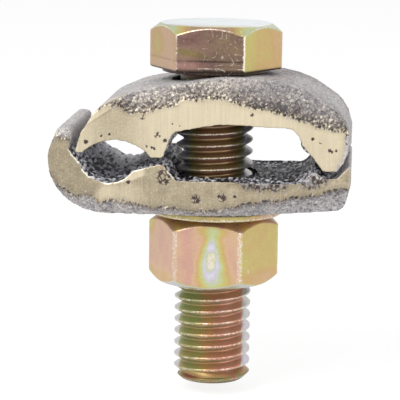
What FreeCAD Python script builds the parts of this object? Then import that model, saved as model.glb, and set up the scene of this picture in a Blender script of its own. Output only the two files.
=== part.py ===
"""Cable to plate ground connector: a cast bronze cap and base drawn together by a hex bolt, washer and nut.

Frame: X runs across the cable, from the hook on the left to the foot on the right. Y runs along the
cable, away from the front face. Z is up along the bolt. The origin is on the bolt's axis, in the flat
underside of the base, where the connector seats on its plate. All lengths are millimetres.
"""

import FreeCAD, Part
import math
import os

import Sketcher

DRIVING = {
    # hardware: a half inch by two inch hex bolt, its nut and a thin plain washer
    "thread_dia": 12.6,
    "thread_clearance": 0.05,
    "bolt_length": 51.25,
    "neck_dia": 11.4,
    "neck_run": 1.8,
    "point_chamfer": 1.1,
    "head_flats": 18.9,
    "head_height": 7.84,
    "head_turn": -1.4,
    "bearing_dia": 17.4,
    "bearing_thickness": 0.45,
    "nut_flats": 18.9,
    "nut_height": 11.27,
    "nut_turned": -2.0,
    "mouth_chamfer": 0.5,
    "head_flat_share": 0.95,
    "nut_upper_flat_share": 0.88,
    "nut_lower_flat_share": 0.97,
    "hex_chamfer_angle": 37.0,
    "washer_dia": 21.6,
    "washer_thickness": 1.1,
    "washer_play": 1.3,
    "washer_shift": 0.45,
    "washer_edge": 0.3,
    # both castings
    "casting_width": 24.6,
    "bolt_hole_play": 1.4,
    "end_round": 1.4,
    "slight_end_round": 0.5,
    # base: hook, cable groove, ridge, plate, bead, foot groove and lip, from left to right
    "left_reach": 25.8,
    "right_reach": 22.5,
    "hook_height": 14.0,
    "hook_thickness": 4.0,
    "hook_tip_round": 1.0,
    "hook_waist_height": 9.8,
    "hook_waist_round": 3.0,
    "hook_heel_round": 9.0,
    "hook_hollow": 0.5,
    "hook_lean": 1.6,
    "toe_seat_height": 8.4,
    "groove_inset": 5.1,
    "groove_span": 8.6,
    "groove_depth": 2.6,
    "shoulder_height": 7.3,
    "ridge_offset": 7.35,
    "ridge_height": 8.6,
    "ridge_run": 2.25,
    "ridge_round": 1.0,
    "plate_thickness": 5.8,
    "plate_corner_round": 0.7,
    "bead_offset": 16.7,
    "bead_height": 8.1,
    "bead_run": 2.7,
    "foot_groove_offset": 19.3,
    "foot_groove_width": 2.0,
    "foot_groove_floor": 6.8,
    "lip_height": 8.7,
    "lip_width": 0.5,
    "tail_rise": 1.45,
    "tail_start": 5.0,
    "tail_inset": 1.1,
    "tail_round": 2.0,
    "base_fall": 1.8,
    "base_side_bow": 0.15,
    # cap: toe, cable roof, middle foot, arch, right foot and crown
    "jaw_gap": 0.95,
    "toe_gap": 0.3,
    "toe_height": 9.95,
    "toe_width": 1.4,
    "toe_lean": 1.0,
    "roof_depth": 2.0,
    "foot_offset": 8.3,
    "foot_width": 1.9,
    "foot_bottom": 9.3,
    "foot_round": 0.8,
    "foot_flare": 1.5,
    "arch_left_height": 13.4,
    "arch_height": 14.9,
    "arch_round": 1.4,
    "arch_right": 13.2,
    "arch_right_height": 14.4,
    "right_foot_width": 2.2,
    "right_foot_inset": 2.3,
    "right_foot_rise": 1.6,
    "right_waist_height": 12.6,
    "shoulder_right_inset": 1.4,
    "shoulder_right_drop": 5.4,
    "shoulder_right_round": 6.0,
    "crown_height": 22.2,
    "crown_left": 1.5,
    "crown_right": 6.5,
    "crown_fall_offset": 14.2,
    "crown_fall_drop": 0.75,
    "crown_round": 15.0,
    "brow_offset": 12.0,
    "brow_drop": 2.2,
    "temple_offset": 17.6,
    "temple_drop": 4.7,
    "temple_round": 6.0,
    "toe_top_height": 13.2,
    "cap_fall_start": 13.0,
    "cap_fall": 1.7,
    "cap_side_bow": 0.37,
}


class Measure:
    """A length of the sheet, or one worked out from several, as text for the document and as a number."""

    def __init__(self, text, number):
        self.text = text
        self.number = float(number)

    def joined(self, sign, other, number):
        return Measure("(%s %s %s)" % (self.text, sign, other.text), number)

    def __add__(self, other):
        return self.joined("+", other, self.number + other.number)

    def __sub__(self, other):
        return self.joined("-", other, self.number - other.number)

    def __mul__(self, factor):
        if isinstance(factor, Measure):
            return self.joined("*", factor, self.number * factor.number)
        return Measure("(%s * %r)" % (self.text, factor), self.number * factor)

    def __truediv__(self, divisor):
        if isinstance(divisor, Measure):
            return self.joined("/", divisor, self.number / divisor.number)
        return Measure("(%s / %r)" % (self.text, divisor), self.number / divisor)

    def __neg__(self):
        return Measure("(-%s)" % self.text, -self.number)


class Corner:
    """One corner of an outline: its place, its rounding, and how far the side that leaves it is bowed."""

    def __init__(self, across, up, rounding=None, bow=None):
        self.across = across
        self.up = up
        self.rounding = rounding
        self.bow = bow

    def place(self):
        return FreeCAD.Vector(self.across.number, self.up.number, 0)


class Fall:
    """How a casting's sides fall away between two levels: how far in, how bowed, up (+1) or down (-1)."""

    def __init__(self, start, end, inward, bow, way):
        self.start = start
        self.end = end
        self.inward = inward
        self.bow = bow
        self.way = way


doc = FreeCAD.newDocument("ground_connector")
sheet = doc.addObject("Spreadsheet::Sheet", "sizes")
for row, (alias, number) in enumerate(DRIVING.items(), start=1):
    sheet.set("A%d" % row, alias)
    sheet.set("B%d" % row, str(number))
    sheet.setAlias("B%d" % row, alias)
doc.recompute()


def size(alias):
    """The measure that the sheet keeps under this alias."""
    return Measure("sizes.%s" % alias, sheet.get(alias))


def bind(thing, prop, measure):
    """Tie a property of a document object to the sheet."""
    thing.setExpression(prop, measure.text)


def new_body(name):
    body = doc.addObject("PartDesign::Body", name)
    body.Label = name
    return body


def origin_plane(body, role):
    return next(item for item in body.Origin.OriginFeatures if item.Role == role)


def new_sketch(body, name, role):
    sketch = body.newObject("Sketcher::SketchObject", name)
    sketch.AttachmentSupport = [(origin_plane(body, role), "")]
    sketch.MapMode = "FlatFace"
    return sketch


def hold_point(sketch, geometry, end, across, up):
    """Fix a point of the sketch by its two distances from the origin."""
    for kind, measure in (("DistanceX", across), ("DistanceY", up)):
        held = sketch.addConstraint(Sketcher.Constraint(kind, -1, 1, geometry, end, measure.number))
        sketch.setExpression("Constraints[%d]" % held, measure.text)


def hold_radius(sketch, geometry, measure):
    held = sketch.addConstraint(Sketcher.Constraint("Radius", geometry, measure.number))
    sketch.setExpression("Constraints[%d]" % held, measure.text)


def end_at(sketch, geometry, place):
    """Which end of an arc, 1 or 2, lies at this place."""
    return min((1, 2), key=lambda end: sketch.getPoint(geometry, end).distanceToPoint(place))


def tangent_ends(before, here, after, radius):
    """Where a rounding of this radius meets the two straight sides of a corner, and its middle point."""
    back = (before - here).normalize()
    ahead = (after - here).normalize()
    half = back.getAngle(ahead) / 2
    reach = radius / math.tan(half)
    middle = here + (back + ahead).normalize() * (radius / math.sin(half) - radius)
    return here + back * reach, middle, here + ahead * reach


def bowed_middle(start, end, rise, bow_side):
    """The middle of an arc that rises this far from its chord, to the left (+1) or right (-1) of the way."""
    chord = end - start
    side = FreeCAD.Vector(-chord.y, chord.x, 0).normalize() * bow_side
    return (start + end) / 2 + side * rise


def arc_radius(start, end, rise):
    """The radius of the arc between two corners that rises this far from its chord."""
    across = end.across - start.across
    up = end.up - start.up
    return rise / 2 + (across * across + up * up) / (rise * 8)


def add_outline(sketch, corners, bow_side=1):
    """Draw a closed outline of straight sides, roundings and bowed sides, every one held by the sheet."""
    count = len(corners)
    places = [corner.place() for corner in corners]
    arrive, middle, leave = list(places), [None] * count, list(places)
    for i, corner in enumerate(corners):
        if corner.rounding:
            meets = tangent_ends(places[i - 1], places[i], places[(i + 1) % count], corner.rounding.number)
            arrive[i], middle[i], leave[i] = meets

    sides = []
    for i, corner in enumerate(corners):
        following = (i + 1) % count
        start, end = leave[i], arrive[following]
        if corner.bow:
            shape = Part.Arc(start, bowed_middle(start, end, corner.bow.number, bow_side), end)
        else:
            shape = Part.LineSegment(start, end)
        sides.append(sketch.addGeometry(shape, False))
        if corner.bow:
            hold_radius(sketch, sides[-1], arc_radius(corner, corners[following], corner.bow))

    for i, corner in enumerate(corners):
        previous, following = sides[i - 1], sides[i]
        previous_end = end_at(sketch, previous, arrive[i])
        following_end = end_at(sketch, following, leave[i])
        if corner.rounding:
            arc = sketch.addGeometry(Part.Arc(arrive[i], middle[i], leave[i]), False)
            near, far = end_at(sketch, arc, arrive[i]), end_at(sketch, arc, leave[i])
            sketch.addConstraint(Sketcher.Constraint("Tangent", previous, previous_end, arc, near))
            sketch.addConstraint(Sketcher.Constraint("Tangent", following, following_end, arc, far))
            hold_radius(sketch, arc, corner.rounding)
            mark = sketch.addGeometry(Part.Point(places[i]), True)
            hold_point(sketch, mark, 1, corner.across, corner.up)
            sketch.addConstraint(Sketcher.Constraint("PointOnObject", mark, 1, previous))
            sketch.addConstraint(Sketcher.Constraint("PointOnObject", mark, 1, following))
        else:
            ends = Sketcher.Constraint("Coincident", previous, previous_end, following, following_end)
            sketch.addConstraint(ends)
            hold_point(sketch, following, following_end, corner.across, corner.up)


def add_circle(sketch, radius):
    """A circle about the sketch's origin."""
    circle = Part.Circle(FreeCAD.Vector(0, 0, 0), FreeCAD.Vector(0, 0, 1), radius.number)
    added = sketch.addGeometry(circle, False)
    sketch.addConstraint(Sketcher.Constraint("Coincident", added, 3, -1, 1))
    hold_radius(sketch, added, radius)


def pad(body, sketch, length, midplane=False, reversed_way=False):
    feature = body.newObject("PartDesign::Pad", sketch.Name + "_pad")
    feature.Profile = sketch
    feature.Midplane = midplane
    feature.Reversed = reversed_way
    bind(feature, "Length", length)
    return feature


def drill(body, name, radius, depth):
    """A round hole about the bolt's axis, right through the body both ways."""
    sketch = new_sketch(body, name, "XY_Plane")
    add_circle(sketch, radius)
    return cut_through(body, sketch, depth)


def cut_through(body, sketch, depth):
    """Cut the sketch's outlines right through the body both ways."""
    feature = body.newObject("PartDesign::Pocket", sketch.Name + "_cut")
    feature.Profile = sketch
    feature.Midplane = True
    bind(feature, "Length", depth)
    return feature


def turn_about_axis(body, sketch, kind):
    """A full turn of the sketch about the bolt's axis, which adds metal (Revolution) or takes it (Groove)."""
    feature = body.newObject("PartDesign::" + kind, sketch.Name + "_turned")
    feature.Profile = sketch
    feature.ReferenceAxis = (sketch, ["V_Axis"])
    feature.Angle = 360
    return feature


def soften(body, base, kind, prop, measure, wanted):
    """Round or chamfer those edges of a feature that the test picks."""
    doc.recompute()
    edges = base.Shape.Edges
    names = ["Edge%d" % (i + 1) for i, edge in enumerate(edges) if wanted(edge)]
    feature = body.newObject("PartDesign::" + kind, base.Name + "_" + kind.lower())
    feature.Base = (base, names)
    bind(feature, prop, measure)
    return feature


def hexagon(sketch, flats):
    """A hexagon about the origin with two flats square to Y."""
    reach = flats / math.sqrt(3)
    half = flats / 2
    near = reach / 2
    add_outline(sketch, [
        Corner(reach, ZERO),
        Corner(near, half),
        Corner(-near, half),
        Corner(-reach, ZERO),
        Corner(-near, -half),
        Corner(near, -half),
    ])


def hex_chamfer(body, name, flats, flat_share, level, way):
    """Turn the corners off one end of a hexagon: level is that end's height, way is +1 for its upper end, and
    flat_share is how much of the flats its round face keeps."""
    sketch = new_sketch(body, name, "XZ_Plane")
    inner = flats / 2 * flat_share
    outer = flats * HEX_CLEAR_SHARE
    fall = (outer - inner) * HEX_SLOPE
    over = fall / 2
    add_outline(sketch, [
        Corner(inner - over / HEX_SLOPE, level + over * way),
        Corner(outer, level - fall * way),
        Corner(outer, level + over * way),
    ])
    return turn_about_axis(body, sketch, "Groove")


def fall_away(body, name, falls):
    """Let the front and back faces fall away from their widest level, as a casting's do from its parting."""
    sketch = new_sketch(body, name, "YZ_Plane")
    half = WIDTH / 2
    over = half / 2
    for fall in falls:
        for face in (1, -1):
            add_outline(sketch, [
                Corner(half * face, fall.start, None, fall.bow),
                Corner((half - fall.inward) * face, fall.end),
                Corner((half - fall.inward) * face, fall.end + over * fall.way),
                Corner((half + over) * face, fall.end + over * fall.way),
                Corner((half + over) * face, fall.start),
            ], -face * fall.way)
    return cut_through(body, sketch, size("left_reach") * THROUGH)


def round_ends(body, name, ends):
    """Round the upright corners of a casting in plan: for each end its place, its side and its rounding."""
    sketch = new_sketch(body, name, "XY_Plane")
    half = WIDTH / 2
    for end, side, round_radius in ends:
        inside = end - round_radius * side
        beyond = end + round_radius * side
        for face in (1, -1):
            add_outline(sketch, [
                Corner(end, (half - round_radius) * face, None, round_radius * QUARTER_RISE),
                Corner(inside, half * face),
                Corner(inside, (half + round_radius) * face),
                Corner(beyond, (half + round_radius) * face),
                Corner(beyond, (half - round_radius) * face),
            ], -face * side)
    return cut_through(body, sketch, size("crown_height") * THROUGH)


ZERO = Measure("0", 0)
HEX_SLOPE = math.tan(math.radians(sheet.get("hex_chamfer_angle")))
# this share of the flats, from the axis, lies clear of a hexagon's corners
HEX_CLEAR_SHARE = 0.62
# a quarter circle rises this share of its radius from its chord
QUARTER_RISE = 1 - math.sqrt(0.5)
# a cut that goes right through runs this many times the reach that it has to clear
THROUGH = 4
# two lengths that differ by less are the same
SAME = 0.001

THREAD_RADIUS = size("thread_dia") / 2
HOLE_RADIUS = THREAD_RADIUS + size("bolt_hole_play") / 2
WIDTH = size("casting_width")


def make_bolt():
    """Hex bolt, standing on its bearing face: the head above, the neck and the threaded length below."""
    body = new_body("hex_bolt")
    head = new_sketch(body, "head_outline", "XY_Plane")
    hexagon(head, size("head_flats"))
    pad(body, head, size("head_height"))
    hex_chamfer(body, "head_chamfer", size("head_flats"), size("head_flat_share"), size("head_height"), 1)

    bearing = new_sketch(body, "bearing_relief", "XZ_Plane")
    ring = size("bearing_dia") / 2
    outside = size("head_flats") * HEX_CLEAR_SHARE
    step = size("bearing_thickness")
    add_outline(bearing, [
        Corner(ring, -step),
        Corner(outside, -step),
        Corner(outside, step),
        Corner(ring, step),
    ])
    turn_about_axis(body, bearing, "Groove")

    shank = new_sketch(body, "shank_outline", "XZ_Plane")
    neck = size("neck_dia") / 2
    chamfer = size("point_chamfer")
    length = size("bolt_length")
    run = size("neck_run")
    add_outline(shank, [
        Corner(ZERO, step),
        Corner(ZERO, -length),
        Corner(THREAD_RADIUS - chamfer, -length),
        Corner(THREAD_RADIUS, chamfer - length),
        Corner(THREAD_RADIUS, neck - run - THREAD_RADIUS),
        Corner(neck, -run),
        Corner(neck, step),
    ])
    turn_about_axis(body, shank, "Revolution")
    body.Placement.Rotation = FreeCAD.Rotation(FreeCAD.Vector(0, 0, 1), sheet.get("head_turn"))
    bind(body, "Placement.Base.z", size("crown_height"))
    return body


def make_nut():
    """Hex nut, its upper face against the washer, chamfered on both faces and at both mouths of its bore."""
    body = new_body("hex_nut")
    outline = new_sketch(body, "nut_outline", "XY_Plane")
    hexagon(outline, size("nut_flats"))
    height = size("nut_height")
    pad(body, outline, height, reversed_way=True)
    hex_chamfer(body, "nut_upper_chamfer", size("nut_flats"), size("nut_upper_flat_share"), ZERO, 1)
    hex_chamfer(body, "nut_lower_chamfer", size("nut_flats"), size("nut_lower_flat_share"), -height, -1)
    bore = THREAD_RADIUS + size("thread_clearance")
    drilled = drill(body, "nut_bore", bore, height * THROUGH)

    def mouth(edge):
        box = edge.BoundBox
        return box.ZLength < SAME and abs(box.XLength / 2 - bore.number) < SAME

    soften(body, drilled, "Chamfer", "Size", size("mouth_chamfer"), mouth)
    body.Placement.Rotation = FreeCAD.Rotation(FreeCAD.Vector(0, 0, 1), sheet.get("nut_turned"))
    bind(body, "Placement.Base.z", -size("washer_thickness"))
    return body


def make_washer():
    """Thin punched washer against the underside of the base, a little off centre within its play."""
    body = new_body("flat_washer")
    disc = new_sketch(body, "washer_outline", "XY_Plane")
    add_circle(disc, size("washer_dia") / 2)
    add_circle(disc, THREAD_RADIUS + size("washer_play") / 2)
    disc_pad = pad(body, disc, size("washer_thickness"), reversed_way=True)
    half_dia = sheet.get("washer_dia") / 2

    def lower_rim(edge):
        box = edge.BoundBox
        return box.ZLength < SAME and box.ZMin < -SAME and abs(box.XLength / 2 - half_dia) < SAME

    soften(body, disc_pad, "Fillet", "Radius", size("washer_edge"), lower_rim)
    bind(body, "Placement.Base.x", size("washer_shift"))
    return body


def make_base():
    """Lower casting: a plate with a hook and a cable groove at its left and a foot groove at its right."""
    body = new_body("clamp_base")
    outline = new_sketch(body, "base_outline", "XZ_Plane")
    left, right = -size("left_reach"), size("right_reach")
    hook_inner = left + size("hook_thickness")
    groove_left = left + size("groove_inset")
    tip = size("hook_tip_round")
    groove_half = size("foot_groove_width") / 2
    plate = size("plate_thickness")
    corner_round = size("plate_corner_round")
    bead_round = size("ridge_round")
    add_outline(outline, [
        Corner(left, ZERO, size("hook_heel_round")),
        Corner(size("tail_start"), ZERO, size("crown_round")),
        Corner(right - size("tail_inset"), size("tail_rise"), size("tail_round")),
        Corner(right, plate),
        Corner(right, size("lip_height")),
        Corner(right - size("lip_width"), size("lip_height")),
        Corner(size("foot_groove_offset") + groove_half, size("foot_groove_floor"), corner_round),
        Corner(size("foot_groove_offset") - groove_half, size("foot_groove_floor"), corner_round),
        Corner(size("bead_offset"), size("bead_height"), bead_round),
        Corner(size("bead_offset") - size("bead_run"), plate, corner_round),
        Corner(size("ridge_run") - size("ridge_offset"), plate, corner_round),
        Corner(-size("ridge_offset"), size("ridge_height"), bead_round),
        Corner(groove_left + size("groove_span"), size("shoulder_height"), None, size("groove_depth")),
        Corner(groove_left, size("toe_seat_height")),
        Corner(hook_inner - size("hook_hollow"), size("toe_seat_height") + size("hook_thickness") / 2, tip),
        Corner(hook_inner, size("hook_height"), tip),
        Corner(left + size("hook_lean"), size("hook_height"), tip),
        Corner(left, size("hook_waist_height"), size("hook_waist_round")),
    ])
    pad(body, outline, WIDTH, midplane=True)
    drill(body, "base_hole", HOLE_RADIUS, plate * THROUGH)
    top = size("hook_height")
    round_radius = size("end_round")
    fall_away(body, "base_sides", [
        Fall(plate, ZERO, size("base_fall"), size("base_side_bow"), -1),
        Fall(top - round_radius, top, round_radius, round_radius * QUARTER_RISE, 1),
    ])
    slight = size("slight_end_round")
    round_ends(body, "base_ends", [(left, -1, slight), (right, 1, slight)])
    return body


def make_cap():
    """Upper casting: a crowned bar with a toe in the hook, a roof over the cable, a middle foot, an arch
    beside the bolt and a foot at the right."""
    body = new_body("clamp_cap")
    outline = new_sketch(body, "cap_outline", "XZ_Plane")
    hook_inner = size("hook_thickness") - size("left_reach")
    toe_left = hook_inner + size("toe_gap")
    toe_right = toe_left + size("toe_width")
    right = size("right_reach")
    shoulder = right - size("shoulder_right_inset")
    foot_left = -size("foot_offset") - size("foot_width") / 2
    foot_right = -size("foot_offset") + size("foot_width") / 2
    foot_round = size("foot_round")
    right_bottom = size("foot_groove_floor") + size("jaw_gap")
    heel = right - size("right_foot_inset")
    crown = size("crown_height")
    wide = size("crown_round")
    add_outline(outline, [
        Corner(toe_left, size("toe_height")),
        Corner(toe_right, size("toe_height"), None, size("roof_depth")),
        Corner(foot_left - foot_round, size("foot_bottom") + foot_round),
        Corner(foot_left, size("foot_bottom"), foot_round / 2),
        Corner(foot_right, size("foot_bottom"), foot_round),
        Corner(foot_right + size("foot_flare"), size("arch_left_height"), size("arch_round")),
        Corner(size("crown_left"), size("arch_height"), wide),
        Corner(size("arch_right"), size("arch_right_height"), size("arch_round")),
        Corner(heel - size("right_foot_width"), right_bottom, foot_round),
        Corner(heel, right_bottom),
        Corner(heel + size("right_foot_inset") / 2, right_bottom + size("right_foot_rise")),
        Corner(right, size("right_waist_height"), foot_round),
        Corner(shoulder, crown - size("shoulder_right_drop"), size("shoulder_right_round")),
        Corner(size("crown_fall_offset"), crown - size("crown_fall_drop"), wide),
        Corner(size("crown_right"), crown, wide),
        Corner(size("crown_left"), crown, wide),
        Corner(-size("brow_offset"), crown - size("brow_drop"), wide),
        Corner(-size("temple_offset"), crown - size("temple_drop"), size("temple_round")),
        Corner(toe_left + size("toe_lean"), size("toe_top_height"), foot_round),
    ])
    pad(body, outline, WIDTH, midplane=True)
    drill(body, "cap_hole", HOLE_RADIUS, crown * THROUGH)
    fall_away(body, "cap_sides", [
        Fall(size("cap_fall_start"), crown, size("cap_fall"), size("cap_side_bow"), 1),
    ])
    slight = size("slight_end_round")
    round_ends(body, "cap_ends", [(toe_left, -1, slight), (right, 1, size("end_round"))])
    return body


makers = (make_bolt, make_nut, make_washer, make_base, make_cap)
subparts = [make() for make in makers]
doc.recompute()

for thing in doc.Objects:
    if "Invalid" in thing.State or "Error" in thing.State:
        raise RuntimeError("%s is not valid: %s" % (thing.Label, thing.State))
for body in subparts:
    if body.Shape.isNull() or not body.Shape.isValid() or len(body.Shape.Solids) != 1:
        raise RuntimeError("%s has no valid solid" % body.Label)

os.makedirs("parts", exist_ok=True)
for body in subparts:
    body.Shape.exportStep(os.path.join("parts", body.Label + ".step"))
    print(body.Label, round(body.Shape.Volume, 2), body.Shape.BoundBox)
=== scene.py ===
"""Looks of the cable to plate ground connector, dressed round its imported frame.

A sand cast bronze base and cap, each ground flat at its front and back, with a half inch bolt, its nut and a
thin washer, all three zinc plated and yellow chromated. Lengths are worked in millimetres and brought to
metres when a piece is finished. X runs across the cable, Y along it and Z up the bolt.
"""

import itertools
import logging
import math
from dataclasses import dataclass, field
from enum import Enum
from typing import Any, ClassVar, Sequence

import bpy
import numpy as np
from mathutils import Matrix, Vector


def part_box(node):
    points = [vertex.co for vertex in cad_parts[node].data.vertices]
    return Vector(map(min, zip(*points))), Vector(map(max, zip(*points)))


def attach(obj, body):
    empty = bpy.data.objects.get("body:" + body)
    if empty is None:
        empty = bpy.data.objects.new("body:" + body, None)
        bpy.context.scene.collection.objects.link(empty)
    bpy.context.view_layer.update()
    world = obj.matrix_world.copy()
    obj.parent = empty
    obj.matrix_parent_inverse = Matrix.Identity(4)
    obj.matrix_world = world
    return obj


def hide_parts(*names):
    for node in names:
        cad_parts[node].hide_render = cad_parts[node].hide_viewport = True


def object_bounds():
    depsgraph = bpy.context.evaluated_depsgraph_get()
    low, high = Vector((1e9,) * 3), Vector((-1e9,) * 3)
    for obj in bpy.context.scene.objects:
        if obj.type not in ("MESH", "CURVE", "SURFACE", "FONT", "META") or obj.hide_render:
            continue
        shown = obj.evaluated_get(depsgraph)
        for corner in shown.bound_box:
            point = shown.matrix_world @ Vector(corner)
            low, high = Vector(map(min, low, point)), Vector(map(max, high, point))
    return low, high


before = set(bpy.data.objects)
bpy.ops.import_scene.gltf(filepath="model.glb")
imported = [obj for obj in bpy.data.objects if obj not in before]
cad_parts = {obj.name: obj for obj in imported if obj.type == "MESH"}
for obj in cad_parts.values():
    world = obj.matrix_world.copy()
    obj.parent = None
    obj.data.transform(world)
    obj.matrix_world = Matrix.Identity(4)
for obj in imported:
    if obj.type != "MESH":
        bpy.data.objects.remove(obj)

LOG = logging.getLogger("ground_connector")
CAD_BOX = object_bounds()
MM = 0.001
PITCH = 25.4 / 13
# the height at which a crest of the bolt's thread stands in front, as in the photograph
FRONT_CREST = -14.88
TURN = 2 * math.pi
# far enough from a ground face, in millimetres, to show nothing of it
OUT_OF_REACH = 9.0
# how much of a crystal's own colour shows over its casting's
CRYSTAL_SHARE = 0.6

Outline = tuple[tuple[float, float], ...]
Spot = tuple[float, float, float]
Stops = tuple[tuple[float, str], ...]


class Slot(Enum):
    """The record's material slots."""

    BRONZE = "cast_bronze"
    PLATED = "yellow_zinc_steel"


class Cut(Enum):
    """Which way a thread is cut: into a shank, or outwards into the wall of a bore."""

    SHANK = 1.0
    BORE = -1.0


def linear(code: str) -> tuple[float, float, float, float]:
    """Turn an sRGB hex colour into a linear colour.

    Args:
        code: the colour, as "#RRGGBB".

    Returns:
        Red, green and blue in linear light, and an alpha of 1.
    """
    parts = [int(code[i:i + 2], 16) / 255 for i in (1, 3, 5)]
    bent = [c / 12.92 if c <= 0.04045 else ((c + 0.055) / 1.055) ** 2.4 for c in parts]
    return bent[0], bent[1], bent[2], 1.0


@dataclass
class Graph:
    """A node tree in the making, with the sockets kept so far by name."""

    tree: bpy.types.NodeTree
    known: dict[str, bpy.types.NodeSocket] = field(default_factory=dict)

    def add(self, kind: str, inputs: dict[int | str, Any] | None = None,
            keep: str | dict[str, int | str] | None = None, **settings: Any) -> bpy.types.Node:
        """Add a node with its settings and links.

        Args:
            kind: the node's type name.
            inputs: by name or number, a kept socket's name, a node for its first output, or a value.
            keep: the name to keep the first output under, or names with the outputs that they stand for.
            settings: the node's own properties. A colour ramp's are given as its stops.

        Returns:
            The new node.
        """
        node = self.tree.nodes.new(kind)
        for place, (at, code) in enumerate(settings.pop("stops", ())):
            elements = node.color_ramp.elements
            element = elements[place] if place < len(elements) else elements.new(at)
            element.position, element.color = at, linear(code)
        for name, value in settings.items():
            setattr(node, name, value)
        for key, value in (inputs or {}).items():
            source = self.known.get(value) if isinstance(value, str) else value
            if isinstance(source, bpy.types.Node):
                source = source.outputs[0]
            if isinstance(source, bpy.types.NodeSocket):
                self.tree.links.new(source, node.inputs[key])
            else:
                node.inputs[key].default_value = value
        for name, output in ({keep: 0} if isinstance(keep, str) else keep or {}).items():
            self.known[name] = node.outputs[output]
        return node

    def work_out(self, *steps: tuple) -> None:
        """Work out a formula step by step, and keep each step's result.

        Args:
            steps: for each the result's name, the operation, and numbers or kept names. RANGE brings a value
                from between two limits to between 0 and 1, or two more numbers. SUM takes a first value and
                adds pairs of a value and its weight.
        """
        for name, operation, *values in steps:
            if operation == "RANGE":
                self.add("ShaderNodeMapRange", dict(enumerate(values)), name)
            elif operation == "SUM":
                total = values[0]
                for terms in zip(values[1::2], values[2::2]):
                    inputs = dict(enumerate((*terms, total)))
                    self.add("ShaderNodeMath", inputs, name, operation="MULTIPLY_ADD")
                    total = name
            else:
                self.add("ShaderNodeMath", dict(enumerate(values)), name, operation=operation)


def start_material(name: str, *attributes: str) -> tuple[bpy.types.Material, Graph]:
    """Start a material on an empty tree.

    Args:
        name: the material's name.
        attributes: the numbers that it reads from the mesh.

    Returns:
        The material, and its graph, which knows each attribute, and each point's place in millimetres as
        "place".
    """
    material = bpy.data.materials.new(name)
    material.use_nodes = True
    material.node_tree.nodes.clear()
    graph = Graph(material.node_tree)
    graph.add("ShaderNodeTexCoord", keep={"object": "Object"})
    graph.add("ShaderNodeVectorMath", {0: "object", "Scale": 1 / MM}, "place", operation="SCALE")
    for attribute in attributes:
        graph.add("ShaderNodeAttribute", keep={attribute: "Fac"}, attribute_name=attribute)
    return material, graph


def smooth(low: float, high: float, value: np.ndarray) -> np.ndarray:
    """Rise smoothly from 0 to 1 as a value goes from low to high, which may be the smaller."""
    share = np.clip((value - low) / (high - low), 0, 1)
    return share * share * (3 - 2 * share)


def bell(value: np.ndarray, centre: float, width: float) -> np.ndarray:
    """A smooth hump of height 1 about a centre."""
    return np.exp(-(((value - centre) / width) ** 2))


def mound(first: np.ndarray, second: np.ndarray, centre: tuple[float, float],
          widths: tuple[float, float]) -> np.ndarray:
    """A smooth hump of height 1 about a centre, in two directions."""
    return np.exp(-(((first - centre[0]) / widths[0]) ** 2) - ((second - centre[1]) / widths[1]) ** 2)


def layered(under: float | np.ndarray, *layers: tuple[np.ndarray, float | np.ndarray]) -> np.ndarray:
    """Lay values over one another.

    Args:
        under: the lowest layer.
        layers: for each a mask, and the values that cover what is under it.

    Returns:
        The values on top.
    """
    for mask, over in layers:
        under = np.where(mask, over, under)
    return under


def hashed(cells: np.ndarray, seed: int) -> np.ndarray:
    """Steady random numbers.

    Args:
        cells: whole-numbered cells, one a row.
        seed: picks the numbers.

    Returns:
        A number from -1 to 1 for each cell.
    """
    mixed = cells[:, 0] * 73856093 ^ cells[:, 1] * 19349663 ^ cells[:, 2] * 83492791 ^ seed * 961748927
    mixed = ((mixed ^ (mixed >> 13)) * 1274126177) & 0xFFFFFFFF
    return ((mixed ^ (mixed >> 16)) & 0xFFFF) / 32767.5 - 1


def lattice(points: np.ndarray, cell: float, seed: int) -> np.ndarray:
    """Smooth lattice noise.

    Args:
        points: places, one a row.
        cell: the size of one grain.
        seed: picks the pattern.

    Returns:
        A value from -1 to 1 for each place.
    """
    scaled = points / cell
    base = np.floor(scaled).astype(np.int64)
    part = scaled - base
    part = part * part * (3 - 2 * part)
    total = np.zeros(len(points))
    for corner in itertools.product((0, 1), repeat=3):
        weight = np.prod(np.where(np.array(corner) == 1, part, 1 - part), axis=1)
        total += hashed(base + np.array(corner), seed) * weight
    return total


def fractal(points: np.ndarray, cell: float, seed: int, octaves: int = 3) -> np.ndarray:
    """Lattice noise summed over finer and finer grains.

    Args:
        points: places, one a row.
        cell: the size of the coarsest grain.
        seed: picks the pattern.
        octaves: how many grains, each half as large as the one before.

    Returns:
        A value from about -1 to 1 for each place.
    """
    weights = [0.5**i for i in range(octaves)]
    layers = [w * lattice(points, cell * w, seed + i) for i, w in enumerate(weights)]
    return sum(layers) / sum(weights)


def cobbles(points: np.ndarray, cell: float, seed: int) -> np.ndarray:
    """Lumps packed side by side.

    Args:
        points: places, one a row.
        cell: the size of one lump.
        seed: picks the pattern.

    Returns:
        1 on the middle of a lump, 0 in the seam between two.
    """
    scaled = points / cell
    base = np.floor(scaled).astype(np.int64)
    first = np.full(len(points), 9.0)
    second = first.copy()
    for step in itertools.product((-1, 0, 1), repeat=3):
        cells = base + np.array(step)
        middles = cells + 0.5 + 0.45 * np.stack([hashed(cells, seed + i) for i in range(3)], axis=1)
        gap = np.linalg.norm(scaled - middles, axis=1)
        second = np.minimum(second, np.maximum(first, gap))
        first = np.minimum(first, gap)
    return smooth(0.0, 0.55, second - first)


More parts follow.
